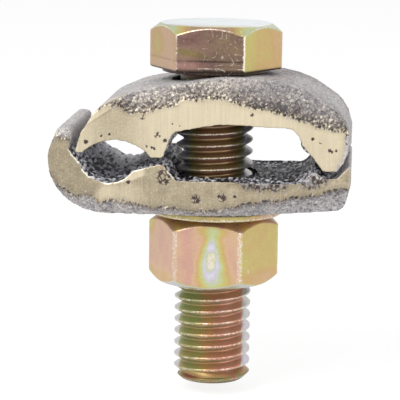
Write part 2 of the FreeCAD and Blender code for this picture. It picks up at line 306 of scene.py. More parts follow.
def outside_distance(points: np.ndarray, outline: Outline) -> np.ndarray:
    """How far flat points lie from a closed outline.

    Args:
        points: places in the outline's plane, one a row.
        outline: its corners in order.

    Returns:
        Distances, positive outside the outline and negative inside.
    """
    corners = np.array(outline)
    nearest = np.full(len(points), np.inf)
    inside = np.zeros(len(points), bool)
    for start, end in zip(corners, np.roll(corners, -1, axis=0)):
        along = end - start
        share = np.clip(((points - start) @ along) / (along @ along), 0, 1)
        nearest = np.minimum(nearest, np.linalg.norm(points - start - share[:, None] * along, axis=1))
        rise = along[1] if along[1] else 1.0
        crossing = start[0] + (points[:, 1] - start[1]) / rise * along[0]
        inside ^= ((start[1] > points[:, 1]) != (end[1] > points[:, 1])) & (points[:, 0] < crossing)
    return np.where(inside, -nearest, nearest)


def link_object(name: str, mesh: bpy.types.Mesh) -> bpy.types.Object:
    """Make an object of a mesh in the scene.

    Args:
        name: the object's name, and the mesh's.
        mesh: the mesh.

    Returns:
        The object, at the origin.
    """
    mesh.name = name
    made = bpy.data.objects.new(name, mesh)
    bpy.context.scene.collection.objects.link(made)
    return made


def mesh_object(name: str, points: np.ndarray, faces: Sequence[Sequence[int]]) -> bpy.types.Object:
    """Make an object of points and faces.

    Args:
        name: the object's name.
        points: its points, one a row.
        faces: the numbers of each face's points.

    Returns:
        The object, in the scene.
    """
    mesh = bpy.data.meshes.new(name)
    mesh.from_pydata(points.tolist(), [], faces)
    return link_object(name, mesh)


def read_mesh(mesh: bpy.types.Mesh) -> tuple[np.ndarray, np.ndarray]:
    """Read the points of a mesh.

    Args:
        mesh: the mesh.

    Returns:
        The points, and the directions that they face, one a row.
    """
    points, normals = np.zeros((2, len(mesh.vertices) * 3))
    mesh.vertices.foreach_get("co", points)
    mesh.vertex_normals.foreach_get("vector", normals)
    return points.reshape(-1, 3), normals.reshape(-1, 3)


def write_points(mesh: bpy.types.Mesh, points: np.ndarray) -> None:
    """Move the points of a mesh."""
    mesh.vertices.foreach_set("co", points.astype(np.float32).ravel())
    mesh.update()


def keep_values(mesh: bpy.types.Mesh, **values: np.ndarray) -> None:
    """Keep numbers for the points of a mesh, over what was there.

    Args:
        mesh: the mesh.
        values: a number for each point, by the attribute's name.
    """
    for name, numbers in values.items():
        attribute = mesh.attributes.get(name) or mesh.attributes.new(name, "FLOAT", "POINT")
        attribute.data.foreach_set("value", numbers.astype(np.float32))


def values_of(mesh: bpy.types.Mesh, name: str) -> np.ndarray:
    """Read the numbers kept for the points of a mesh.

    Args:
        mesh: the mesh.
        name: the attribute's name.

    Returns:
        A number for each point.
    """
    numbers = np.zeros(len(mesh.vertices))
    mesh.attributes[name].data.foreach_get("value", numbers)
    return numbers


def settle(piece: bpy.types.Object, name: str) -> bpy.types.Object:
    """Turn an object with modifiers into a plain one.

    Args:
        piece: the object, which is removed.
        name: the new object's name.

    Returns:
        A new object with the evaluated mesh and no modifiers.
    """
    graph = bpy.context.evaluated_depsgraph_get()
    mesh = bpy.data.meshes.new_from_object(piece.evaluated_get(graph), depsgraph=graph)
    bpy.data.objects.remove(piece)
    return link_object(name, mesh)


@dataclass
class Piece:
    """A piece of the object, which stands for a CAD node and rides on a body."""

    slot: ClassVar[Slot]
    node: str
    body: str

    def corners(self) -> tuple[np.ndarray, ...]:
        """The lowest and the highest corner of the CAD node's box, in millimetres."""
        return tuple(np.array(corner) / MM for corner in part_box(self.node))

    def finish(self, made: bpy.types.Object, material: bpy.types.Material) -> bpy.types.Object:
        """Bring a piece from millimetres to metres, dress it and let it stand for its CAD node.

        Args:
            made: the piece, at the origin.
            material: what it is made of.

        Returns:
            The same object.
        """
        mesh = made.data
        mesh.transform(Matrix.Scale(MM, 4))
        mesh.materials.clear()
        mesh.materials.append(material)
        mesh.polygons.foreach_set("use_smooth", np.ones(len(mesh.polygons), bool))
        mesh.update()
        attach(made, self.body)
        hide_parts(self.node)
        return made


class ShapeTree(Graph):
    """A Geometry Nodes tree with named inputs, and the modifier that runs it."""

    def __init__(self, name: str) -> None:
        """Start a tree that takes a geometry and gives one.

        Args:
            name: the tree's name.
        """
        super().__init__(bpy.data.node_groups.new(name, "GeometryNodeTree"))
        for way in ("INPUT", "OUTPUT"):
            self.tree.interface.new_socket("Geometry", in_out=way, socket_type="NodeSocketGeometry")
        self.source = self.add("NodeGroupInput")

    def take(self, *names: str, kind: str = "NodeSocketFloat") -> None:
        """Add inputs, and know each by its name.

        Args:
            names: what the inputs are called.
            kind: their sockets' type name.
        """
        for name in names:
            self.tree.interface.new_socket(name, in_out="INPUT", socket_type=kind)
        self.known.update({socket.name: socket for socket in self.source.outputs if socket.name})

    def close(self, geometry: bpy.types.Node, material: bpy.types.Material) -> None:
        """End the tree: realize what is instanced and set its material.

        Args:
            geometry: the node that gives the tree's geometry.
            material: what the geometry is made of.
        """
        real = self.add("GeometryNodeRealizeInstances", {"Geometry": geometry})
        dressed = self.add("GeometryNodeSetMaterial", {"Geometry": real, "Material": material})
        self.add("NodeGroupOutput", {"Geometry": dressed})

    def run(self, piece: bpy.types.Object, sizes: dict[str, float]) -> None:
        """Put the tree on an object.

        Args:
            piece: the object.
            sizes: the inputs' values by name. They are set by the sockets' identifiers.
        """
        modifier = piece.modifiers.new(self.tree.name, "NODES")
        modifier.node_group = self.tree
        for item in self.tree.interface.items_tree:
            if item.name in sizes and item.in_out == "INPUT":
                modifier[item.identifier] = sizes[item.name]


def thread_tree(material: bpy.types.Material) -> ShapeTree:
    """The tree that cuts a right-hand thread into the points marked as threaded.

    Args:
        material: what the threaded piece is made of.

    Returns:
        The tree, with Pitch, Crest Radius, Depth, Start, End, Run Out, Phase, Way and Ragged as inputs.
    """
    shape = ShapeTree("rolled_thread")
    shape.take("Pitch", "Crest Radius", "Depth", "Start", "End", "Run Out", "Phase", "Way", "Ragged")
    place = shape.add("GeometryNodeInputPosition")
    shape.add("ShaderNodeSeparateXYZ", {0: place}, {"x": 0, "y": 1, "z": 2})
    shape.add("ShaderNodeTexNoise", {"Vector": place, "Scale": 1.6, "Detail": 3.0}, "grain")
    # crest and root are each an eighth of the pitch wide, with straight flanks between them
    shape.work_out(
        ("angle", "ARCTAN2", "y", "x"),
        ("angle", "DIVIDE", "angle", TURN),
        ("turns", "SUBTRACT", "z", "Phase"),
        ("turns", "DIVIDE", "turns", "Pitch"),
        ("turns", "SUBTRACT", "turns", "angle"),
        ("from crest", "PINGPONG", "turns", 0.5),
        ("flank", "RANGE", "from crest", 1 / 16, 7 / 16),
    )
    shape.add("ShaderNodeMapRange", {"Value": "flank"}, "eased", interpolation_type="SMOOTHSTEP")
    flat = shape.add("ShaderNodeCombineXYZ", {0: "x", 1: "y"})
    shape.add("ShaderNodeVectorMath", {0: flat}, {"radius": "Value"}, operation="LENGTH")
    shape.add("GeometryNodeInputNamedAttribute", {"Name": "threaded"}, {"marked": "Attribute"},
              data_type="FLOAT")
    shape.work_out(
        ("cut", "MULTIPLY", "flank", 0.8),
        ("cut", "SUM", "cut", "eased", 0.2),
        ("enter", "SUBTRACT", "z", "Start"),
        ("enter", "DIVIDE", "enter", "Run Out"),
        ("leave", "SUBTRACT", "End", "z"),
        ("leave", "DIVIDE", "leave", "Run Out"),
        ("full", "MINIMUM", "enter", "leave"),
        ("full", "MINIMUM", "full", 1.0),
        ("full", "MAXIMUM", "full", 0.0),
        ("cut", "MULTIPLY", "cut", "full"),
        ("worn", "SUBTRACT", "grain", 0.5),
        ("worn", "MULTIPLY", "worn", "Ragged"),
        ("worn", "ABSOLUTE", "worn"),
        ("deep", "MULTIPLY_ADD", "cut", "Depth", "worn"),
        ("deep", "MULTIPLY", "deep", "Way"),
        ("target", "SUBTRACT", "Crest Radius", "deep"),
        ("target", "MULTIPLY", "target", "Way"),
        ("wanted", "MULTIPLY", "radius", "Way"),
        ("wanted", "MINIMUM", "wanted", "target"),
        ("wanted", "MULTIPLY", "wanted", "Way"),
        ("share", "DIVIDE", "wanted", "radius"),
        ("new x", "MULTIPLY", "x", "share"),
        ("new y", "MULTIPLY", "y", "share"),
        ("chosen", "GREATER_THAN", "marked", 0.5),
    )
    moved = shape.add("ShaderNodeCombineXYZ", {0: "new x", 1: "new y", 2: "z"})
    kept = shape.add("GeometryNodeStoreNamedAttribute",
                     {"Geometry": "Geometry", "Selection": "chosen", "Name": "groove", "Value": "cut"},
                     data_type="FLOAT", domain="POINT")
    shape.close(shape.add("GeometryNodeSetPosition",
                          {"Geometry": kept, "Selection": "chosen", "Position": moved}), material)
    return shape


def grit_tree(material: bpy.types.Material) -> ShapeTree:
    """The tree that sets small broken crystals into a casting's rough skin, where its "grit" says.

    Args:
        material: what the casting is made of.

    Returns:
        The tree, with Density (a square millimetre), Largest (a crystal's radius) and Seed as inputs.
    """
    shape = ShapeTree("casting_grit")
    shape.take("Density", "Largest")
    shape.take("Seed", kind="NodeSocketInt")
    shape.add("GeometryNodeInputNamedAttribute", {"Name": "grit"}, {"grit": "Attribute"}, data_type="FLOAT")
    shape.work_out(("amount", "MULTIPLY", "Density", "grit"))
    points = shape.add("GeometryNodeDistributePointsOnFaces",
                       {"Mesh": "Geometry", "Density": "amount", "Seed": "Seed"}, distribute_method="RANDOM")
    crystal = shape.add("GeometryNodeMeshIcoSphere", {"Radius": 1.0, "Subdivisions": 1})
    turned, sized = (shape.add("FunctionNodeRandomValue", {0: (low,) * 3, 1: (high,) * 3, "Seed": "Seed"},
                               data_type="FLOAT_VECTOR") for low, high in ((0.0, TURN), (0.3, 1.0)))
    scaled = shape.add("ShaderNodeVectorMath", {0: sized, "Scale": "Largest"}, operation="SCALE")
    grown = shape.add("GeometryNodeInstanceOnPoints",
                      {"Points": points, "Instance": crystal, "Rotation": turned, "Scale": scaled})
    real = shape.add("GeometryNodeRealizeInstances", {"Geometry": grown})
    marked = shape.add("GeometryNodeStoreNamedAttribute",
                       {"Geometry": real, "Name": "crystal", "Value": CRYSTAL_SHARE},
                       data_type="FLOAT", domain="POINT")
    joined = shape.add("GeometryNodeJoinGeometry", {0: "Geometry"})
    shape.tree.links.new(marked.outputs[0], joined.inputs[0])
    shape.close(joined, material)
    return shape


@dataclass(frozen=True)
class SandCastBronze:
    """Sand cast silicon bronze, ground on a belt at front and back: bare cream metal with fine upright
    lines there, a sugary crust where the belt stopped, a dull grey skin and dark scale inside the jaw.
    The scale's palest streaks are partly painted highlights, and so are specks along the crust's ridge."""

    name: str = "sand_cast_silicon_bronze"
    ground: Stops = ((0.0, "#786C5A"), (0.5, "#ADA088"), (1.0, "#E2D5B8"))
    skin: Stops = ((0.0, "#565154"), (0.3, "#959093"), (0.6, "#B5B1B2"), (1.0, "#DAD7D5"))
    crust: Stops = (
        (0.0, "#2E2622"), (0.3, "#6C6054"), (0.55, "#978B7B"), (0.78, "#D3C6AF"), (1.0, "#FBF6E6"),
    )
    # the scale's own dark and grey, rising to near-white on its streaks, which is partly painted highlights
    jaw: Stops = ((0.0, "#1C1A1C"), (0.35, "#504D52"), (0.6, "#98959C"), (0.8, "#CFCFD5"), (1.0, "#ECECF0"))
    pit: str = "#463834"
    rim: str = "#D6CBB4"
    # the near-white of burrs on the jaw's edges, also used for painted highlights along the crust's ridge
    burr: str = "#FFFBEF"
    crystal: str = "#E3D8C4"
    # a noise's grain in millimetres, its detail, and how it is drawn out along X, Y and Z. The belt's lines
    # are really about 0.1 mm apart, drawn coarser so that they show
    noises: tuple[tuple[str, float, float, tuple[float, float, float]], ...] = (
        ("fine", 0.24, 3.0, (1.0, 1.0, 1.0)),
        ("grain", 0.55, 4.0, (1.0, 1.0, 1.0)),
        ("lines", 0.2, 2.0, (1.0, 0.2, 0.03)),
        ("drips", 0.4, 3.0, (1.0, 0.5, 0.45)),
        ("bark", 0.7, 3.0, (1.0, 0.3, 1.0)),
    )
    crystal_mm: float = 0.36
    hollow_mm: float = 0.85
    crack_mm: float = 0.75
    noise_rough: float = 0.65
    relief_mm: float = 0.16
    relief_share: float = 0.8
    ground_rough: float = 0.42
    ground_metallic: float = 0.85
    skin_rough: float = 0.8
    skin_metallic: float = 0.1
    skin_gloss: float = 0.5
    jaw_rough: float = 0.5
    jaw_gloss: float = 0.16

    def build(self) -> bpy.types.Material:
        """Make the material.

        Returns:
            The material. It reads the numbers that the castings keep on their meshes.
        """
        material, graph = start_material(
            self.name, "beyond", "crust", "jaw", "high", "pit", "cracked", "burr", "tone", "crystal")
        for name, cell, detail, stretch in self.noises:
            drawn = graph.add("ShaderNodeVectorMath", {0: "place", 1: stretch}, operation="MULTIPLY")
            graph.add("ShaderNodeTexNoise",
                      {"Vector": drawn, "Scale": 1 / cell, "Detail": detail,
                       "Roughness": self.noise_rough}, name)
        graph.add("ShaderNodeTexVoronoi", {"Vector": "place", "Scale": 1 / self.crystal_mm},
                  {"hump": "Distance", "tint": "Color"})
        graph.add("ShaderNodeTexVoronoi", {"Vector": "place", "Scale": 1 / self.crack_mm},
                  {"gap": "Distance"}, feature="DISTANCE_TO_EDGE")
        drawn = graph.add("ShaderNodeVectorMath", {0: "place", 1: (1.0, 0.25, 1.0)}, operation="MULTIPLY")
        graph.add("ShaderNodeTexVoronoi", {"Vector": drawn, "Scale": 1 / self.hollow_mm},
                  {"hollow": "Distance"})
        graph.add("ShaderNodeSeparateColor", {0: "tint"}, "facet")
        graph.work_out(
            ("hollow", "RANGE", "hollow", 0.42, 0.24),
            ("ragged", "SUM", "beyond", "drips", 3.0, "fine", 1.2),
            ("fleck", "GREATER_THAN", "facet", 0.93),
            ("skin value", "SUM", -1.19, "facet", 0.3, "fleck", -0.45, "fine", 1.85, "grain", 1.2,
             "high", 0.35),
            ("crust value", "SUM", -1.38, "facet", 0.55, "fine", 1.0, "grain", 1.35, "high", 0.8),
            # the scale is lighter on its streaks and ridges, partly painted highlights
            ("jaw value", "SUM", -1.84, "high", 1.3, "fine", 0.6, "bark", 3.6, "hollow", -0.7),
            ("mottle", "SUBTRACT", "fine", 0.5),
            ("dullness", "SUBTRACT", 1.05, "tone"),
            ("mottle", "MULTIPLY", "mottle", "dullness"),
            ("metal value", "SUM", "tone", "lines", 0.3, "mottle", 1.6),
            ("metal value", "SUBTRACT", "metal value", 0.15),
            ("blot", "SUM", "pit", "fine", 1.6),
            ("bare", "RANGE", "ragged", 2.12, 1.95),
            ("border", "RANGE", "beyond", -0.9, 0.1),
            ("blot", "RANGE", "blot", 1.24, 1.4),
            ("seam", "RANGE", "gap", 0.15, 0.04),
            ("cracked", "RANGE", "cracked", 0.3, 0.6),
            ("halo", "RANGE", "pit", 0.1, 0.5),
            ("seam", "MULTIPLY", "seam", "cracked"),
            ("metal value", "SUM", "metal value", "border", -0.2),
            ("hole", "MAXIMUM", "blot", "seam"),
            ("halo", "MULTIPLY", "halo", 0.35),
            ("sound", "SUBTRACT", "bare", "hole"),
            ("sound", "MAXIMUM", "sound", 0.0),
            ("rough", "SUBTRACT", 1.0, "sound"),
            ("bark", "MULTIPLY", "bark", "jaw"),
            ("lumps", "SUM", "fine", "hump", -0.7, "bark", 3.0),
            ("lumps", "MULTIPLY", "lumps", "rough"),
            ("scored", "MULTIPLY", "lines", "sound"),
            ("relief", "SUM", "lumps", "scored", 0.1),
            ("dull", "RANGE", "jaw", 0.0, 1.0, self.skin_rough, self.jaw_rough),
            ("gloss", "RANGE", "jaw", 0.0, 1.0, self.skin_gloss, self.jaw_gloss),
            ("dull", "RANGE", "sound", 0.0, 1.0, "dull", self.ground_rough),
            ("metallic", "RANGE", "sound", 0.0, 1.0, self.skin_metallic, self.ground_metallic),
        )
        ramps = (("skin", self.skin), ("crust", self.crust), ("jaw", self.jaw), ("metal", self.ground))
        for name, stops in ramps:
            graph.add("ShaderNodeValToRGB", {0: name + " value"}, name + " colour", stops=stops)
        colour = "skin colour"
        layers = (("crust", "crust colour"), ("jaw", "jaw colour"), ("bare", "metal colour"),
                  ("halo", linear(self.rim)), ("hole", linear(self.pit)), ("burr", linear(self.burr)),
                  ("crystal", linear(self.crystal)))
        for share, over in layers:
            graph.add("ShaderNodeMix", {0: share, 6: colour, 7: over}, {"colour": 2}, data_type="RGBA")
            colour = "colour"
        bump = graph.add("ShaderNodeBump", {
            "Strength": self.relief_share, "Distance": self.relief_mm * MM, "Height": "relief"})
        shader = graph.add("ShaderNodeBsdfPrincipled", {
            "Base Color": colour, "Roughness": "dull", "Metallic": "metallic", "Specular IOR Level": "gloss",
            "Normal": bump})
        graph.add("ShaderNodeOutputMaterial", {"Surface": shader})
        return material


@dataclass(frozen=True)
class YellowChromate:
    """Zinc plate under a yellow chromate film. The film's thickness gives drifts of blue-white, lilac,
    green, gold and pink, its worn edges show pale zinc, and handling leaves scuffs. A dark brown mix
    darkens the film in places and paints shade under the bolt's head, inside the clamp, in the thread's
    roots, on the nut's upper chamfer and at the washer's top edge. The pale zinc also paints highlights
    and reflections, and the thread's teeth get a pale painted reflection."""

    name: str = "yellow_chromate_zinc"
    film: Stops = (
        (0.00, "#DCE3E3"), (0.10, "#CFC8D6"), (0.20, "#C2CB9A"), (0.32, "#CCC076"), (0.45, "#D0AE76"),
        (0.57, "#D8B494"), (0.70, "#D0A094"), (0.82, "#BE816A"), (0.91, "#B88E5C"), (1.00, "#949A60"),
    )
    # the pale zinc of worn edges, also used for painted highlights and reflections
    worn: str = "#E2DACC"
    # the dark brown that darkens the film, also mixed in as painted shade
    shade: str = "#382E2A"
    rough: float = 0.36
    metallic: float = 0.75
    # a noise's grain in millimetres and its detail. Scuffs are really finer, and drawn so that they show
    noises: tuple[tuple[str, float, float], ...] = (
        ("cloud", 2.2, 3.0), ("speck", 0.3, 3.0), ("drift", 0.6, 1.0), ("strokes", 2.4, 0.0),
    )
    scuff_rings: float = 6.0
    scuff_width: float = 0.09
    relief_mm: float = 0.05
    relief_share: float = 0.25
    # the film painted on a thread's teeth where they stand out past the core: pale, a painted reflection of
    # the bright surround
    tooth_reflection_film: float = 0.13

    def build(self) -> bpy.types.Material:
        """Make the material.

        Returns:
            The material. It reads film, wear, tarnish, scuffs and outside from the mesh.
        """
        material, graph = start_material(self.name, "film", "wear", "tarnish_and_shade", "scuffs", "outside")
        for name, cell, detail in self.noises:
            graph.add("ShaderNodeTexNoise", {"Vector": "place", "Scale": 1 / cell, "Detail": detail}, name)
        graph.work_out(
            # teeth standing out past the core are painted pale, a painted reflection
            ("tooth", "RANGE", "outside", 0.0, 0.06),
            ("core", "SUBTRACT", 1.0, "tooth"),
            ("thickness", "MULTIPLY", "film", "core"),
            ("thickness", "SUM", "thickness", "tooth", self.tooth_reflection_film, "cloud", 0.16),
            ("thickness", "SUBTRACT", "thickness", 0.08),
            # darker film, and painted shade where a piece paints it
            ("dull", "SUM", "tarnish_and_shade", "speck", 0.3),
            ("dull", "SUBTRACT", "dull", 0.15),
            ("dull", "MULTIPLY", "dull", "core"),
            ("dull", "SUM", "dull", "tooth", 0.12),
            ("off line", "MULTIPLY", "strokes", self.scuff_rings),
            ("off line", "PINGPONG", "off line", 0.5),
            # worn places, and painted highlights and reflections, show the pale zinc
            ("rubbed_and_highlight", "SUM", "wear", "speck", 1.6),
            ("broken", "SUM", "scuffs", "drift", 1.0),
            ("dull", "RANGE", "dull", 0.0, 1.0),
            ("rubbed_and_highlight", "RANGE", "rubbed_and_highlight", 1.3, 1.7),
            ("broken", "RANGE", "broken", 0.88, 0.96),
            ("line", "RANGE", "off line", self.scuff_width, 0.3 * self.scuff_width),
            ("line", "MULTIPLY", "line", "broken"),
            ("line", "MULTIPLY", "line", 0.45),
            ("rubbed_and_highlight", "MAXIMUM", "rubbed_and_highlight", "line"),
        )
        graph.add("ShaderNodeValToRGB", {0: "thickness"}, "colour", stops=self.film)
        for share, over in (("dull", self.shade), ("rubbed_and_highlight", self.worn)):
            graph.add("ShaderNodeMix", {0: share, 6: "colour", 7: linear(over)}, {"colour": 2},
                      data_type="RGBA")
        bump = graph.add("ShaderNodeBump", {
            "Strength": self.relief_share, "Distance": self.relief_mm * MM, "Height": "speck"})
        shader = graph.add("ShaderNodeBsdfPrincipled", {
            "Base Color": "colour", "Roughness": self.rough, "Metallic": self.metallic, "Normal": bump})
        graph.add("ShaderNodeOutputMaterial", {"Surface": shader})
        return material


@dataclass
class Zones:
    """What the skin of a casting is like at each of its points."""

    # how far the point belongs to the dark inside of the jaw, from 0 to 1
    inner: np.ndarray
    # how far the rough skin stands out from the CAD solid, in millimetres
    swell: np.ndarray
    # how much paler the crust and the skin are, as a share, with painted light and shade in it
    bloom_and_painted_light: np.ndarray
    # how pale the ground metal is, from 0 to 1, with painted shade and a painted reflection in it
    tone: np.ndarray
    # how squarely the point must face front or back to have any crust
    squarely: np.ndarray
    # how far the point lies past the reach of the belt where it isn't on a flat face, in millimetres
    unground: np.ndarray


@dataclass
class Casting(Piece):
    """A sand casting: its CAD solid remade as an even skin, ground flat front and back, rough elsewhere."""

    slot: ClassVar[Slot] = Slot.BRONZE
    seed: int
    ground: Outline
    pits: tuple[Spot, ...]
    cracks: tuple[Spot, ...]
    voxel: float = 0.25
    # how far the skin reaches past the ground face before it lies on the casting's own side
    fall_run: float = 2.6
    # how far the sugary crust reaches past the ground face
    crust_run: float = 4.0
    crust_depth: float = 0.4
    jaw_depth: float = 0.4
    skin_depth: float = 0.1
    grit_density: float = 2.5
    grit_largest: float = 0.16
    # how strongly highlights are painted along the ridge where the crust meets the skin
    ridge_light: float = 0.0

    def make(self, material: bpy.types.Material) -> bpy.types.Object:
        """Build, dress and place the casting.

        Args:
            material: the bronze.

        Returns:
            The finished casting.
        """
        skin = self.remade()
        self.roughen(skin.data)
        grit_tree(material).run(skin, {"Density": self.grit_density, "Largest": self.grit_largest,
                                       "Seed": self.seed})
        piece = settle(skin, self.node + "_casting")
        write_points(piece.data, np.clip(read_mesh(piece.data)[0], *self.corners()))
        return self.finish(piece, material)

    def remade(self) -> bpy.types.Object:
        """Remake the CAD solid as an even net of small faces.

        Returns:
            The net, in millimetres.
        """
        solid = link_object(self.node + "_solid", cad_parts[self.node].data.copy())
        solid.data.transform(Matrix.Scale(1 / MM, 4))
        weld = solid.modifiers.new("weld", "WELD")
        weld.merge_threshold = 0.001
        voxels = solid.modifiers.new("voxels", "REMESH")
        voxels.mode = "VOXEL"
        voxels.voxel_size = self.voxel
        return settle(solid, self.node + "_skin")

    def zones(self, points: np.ndarray, normals: np.ndarray) -> Zones:
        """Map what the casting's skin is like.

        Args:
            points: its points in millimetres, one a row.
            normals: the directions that they face.

        Returns:
            The zones.
        """
        raise NotImplementedError

    def drifts(self, points: np.ndarray) -> np.ndarray:
        """Paler and darker drifts of the skin, as a share."""
        return 0.3 * fractal(points, 3.5, self.seed + 90)

    @staticmethod
    def spotted(points: np.ndarray, spots: tuple[Spot, ...]) -> np.ndarray:
        """Find the spots on the front.

        Args:
            points: places in millimetres, one a row.
            spots: each spot's X, Z and radius.

        Returns:
            How near each point is to the middle of a spot, from 0 to 1.
        """
        near = [bell(np.hypot(points[:, 0] - across, points[:, 2] - up), 0.0, radius)
                for across, up, radius in spots]
        return np.max(near, axis=0)

    def roughen(self, mesh: bpy.types.Mesh) -> None:
        """Grind the flat faces, roughen the rest and keep what the finish reads.

        Args:
            mesh: the casting's even net, in millimetres.
        """
        points, normals = read_mesh(mesh)
        zones = self.zones(points, normals)
        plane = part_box(self.node)[1].y / MM
        depth, face = np.abs(points[:, 1]), np.sign(points[:, 1])
        facing = np.abs(normals[:, 1])
        side = smooth(0.3, 0.8, facing) * smooth(plane - 3.0, plane - 2.4, depth)
        beyond = outside_distance(points[:, [0, 2]], self.ground) + 0.4 * fractal(points, 1.5, self.seed)
        reach = smooth(0.0, self.fall_run, beyond)
        bare = side * smooth(0.15, -0.1, beyond)
        rugged = smooth(zones.squarely, zones.squarely + 0.5, facing)
        rugged = rugged * smooth(plane - 5.5, plane - 3.5, depth)
        crust = rugged * smooth(-0.6, 0.0, beyond) * np.exp(-np.maximum(beyond, 0) / self.crust_run)
        jaw = (1 - side) * zones.inner
        pit, cracked = (self.spotted(points, spots) * side * (face < 0)
                        for spots in (self.pits, self.cracks))

        grain = 0.5 + 0.5 * fractal(points, 0.9, self.seed + 20)
        lumps = cobbles(points, 0.62, self.seed + 30)
        drawn = points * np.array([1.0, 0.35, 1.0])
        bark = 0.6 * cobbles(drawn, 0.9, self.seed + 40) + 0.2 + 0.2 * fractal(drawn, 0.7, self.seed + 50)
        away = smooth(-0.1, 1.2, beyond)
        sink = (1 - bare) * self.skin_depth * (1 - grain)
        sink += away * crust * self.crust_depth * (1 - lumps * grain * 1.4)
        sink += jaw * self.jaw_depth * (1 - bark) + 0.25 * pit * grain - (1 - side) * zones.swell
        edge = smooth(0.2, 0.4, facing) * smooth(0.97, 0.85, facing)
        sink += 0.16 * edge * fractal(points, 0.7, self.seed + 80)
        lifted = points.copy()
        lifted[:, 1] += face * (plane - depth) * (1 - reach) * side
        lifted -= normals * sink[:, None]
        lifted[:, 1] = np.clip(lifted[:, 1], -plane, plane)
        write_points(mesh, lifted)

        # paler where the skin stands high, on lumps and the scale's streaks, with the drifts and the painted
        # light and shade of the zones added
        high = (grain * (1 - crust) + lumps * crust) * (1 - jaw) + bark * jaw + zones.bloom_and_painted_light
        burr = smooth(0.2, 0.45, facing) * smooth(0.97, 0.85, facing) * smooth(0.0, 0.3, normals[:, 2])
        burr *= smooth(plane - 0.5, plane - 0.2, depth) * smooth(0.3, -0.4, beyond)
        burr *= smooth(-0.1, 0.25, fractal(points, 2.2, self.seed + 60)) * zones.inner
        # painted highlights in specks along the ridge between the crust and the skin
        ridge = self.ridge_light * bell(facing, 0.5, 0.2) * crust * smooth(0.8, 1.6, beyond)
        burr = np.minimum(1.6 * burr + ridge * smooth(0.05, 0.4, fractal(points, 0.7, self.seed + 65)), 1.0)
        grit = crust * smooth(2.5, 0.2, beyond) * smooth(0.4, 0.8, grain)
        keep_values(mesh, beyond=np.where(side > 0.5, beyond, zones.unground), crust=crust, jaw=jaw,
                    high=high, pit=pit, cracked=cracked, burr=burr, tone=zones.tone, grit=grit)


@dataclass
class CastBase(Casting):
    """The lower casting, with its hook, cable groove, ridge, plate and lip."""

    crust_run: float = 0.6
    crust_depth: float = 0.25

    def zones(self, points: np.ndarray, normals: np.ndarray) -> Zones:
        """The groove, the plate's top and the wall of the bolt hole are dark.

        Args:
            points: the casting's points in millimetres, one a row.
            normals: the directions that they face.

        Returns:
            The zones.
        """
        across, away, up = points.T
        inner = smooth(-23.4, -22.6, across) * smooth(20.8, 19.6, across)
        inner = inner * smooth(-0.35, -0.05, normals[:, 2]) * smooth(11.8, 9.6, up)
        # burnt-on scale fills the groove towards the back
        scale = (0.35 + 1.5 * smooth(-8.0, 12.0, away)) * bell(across, -17.9, 4.2)
        # darker low at the right, and darker on the plate, partly its own colour and partly painted shade
        # under the cap's arch; paler on the hook; paler towards the back of the groove, a painted pool of
        # the light that comes in from behind; and painted paler on the lip's inner wall, which lies in shade
        # by the cap's foot, as painted light
        groove = smooth(-9.0, -10.0, across) * smooth(11.0, 9.5, up)
        right = 0.3 * smooth(0.0, 12.0, across) * smooth(6.0, 3.5, up)
        plate = 0.15 * smooth(-8.0, -5.0, across) * smooth(3.5, 4.5, up)
        hook = 0.25 * smooth(11.5, 12.5, up)
        lip = 0.6 * smooth(19.5, 20.5, across) * smooth(6.0, 7.5, up)
        bloom_and_painted_light = 0.5 * self.drifts(points) - 0.1 + groove * (0.38 * smooth(-6.0, 8.0, away) - 0.05)
        # duller on the hook, with a pale patch low at the left and a rolled edge right of the groove. The
        # whole ground face is painted darker than the cap's, as painted shade
        patch = smooth(-18.9, -18.0, across - 0.9 * (up - 3.0)) * smooth(-8.0, -13.0, across)
        below = 5.5 + 0.33 * (across + 15.1) - up + 0.2 * fractal(points, 1.0, self.seed + 75)
        rolled = smooth(-15.4, -14.6, across) * smooth(-9.8, -10.6, across) * smooth(0.75, 0.5, below)
        level = 0.52 - 0.08 * smooth(-17.5, -19.5, across) + 0.26 * patch * smooth(5.6, 4.4, up)
        level = level + 0.4 * rolled
        return Zones(inner, swell=scale * smooth(12.0, 10.0, up) * smooth(4.6, 5.4, up),
                     bloom_and_painted_light=bloom_and_painted_light - right - plate + hook + lip,
                     tone=level + 0.16 * fractal(points, 1.1, self.seed + 70, 4),
                     squarely=np.full_like(up, 0.3), unground=np.full_like(up, OUT_OF_REACH))


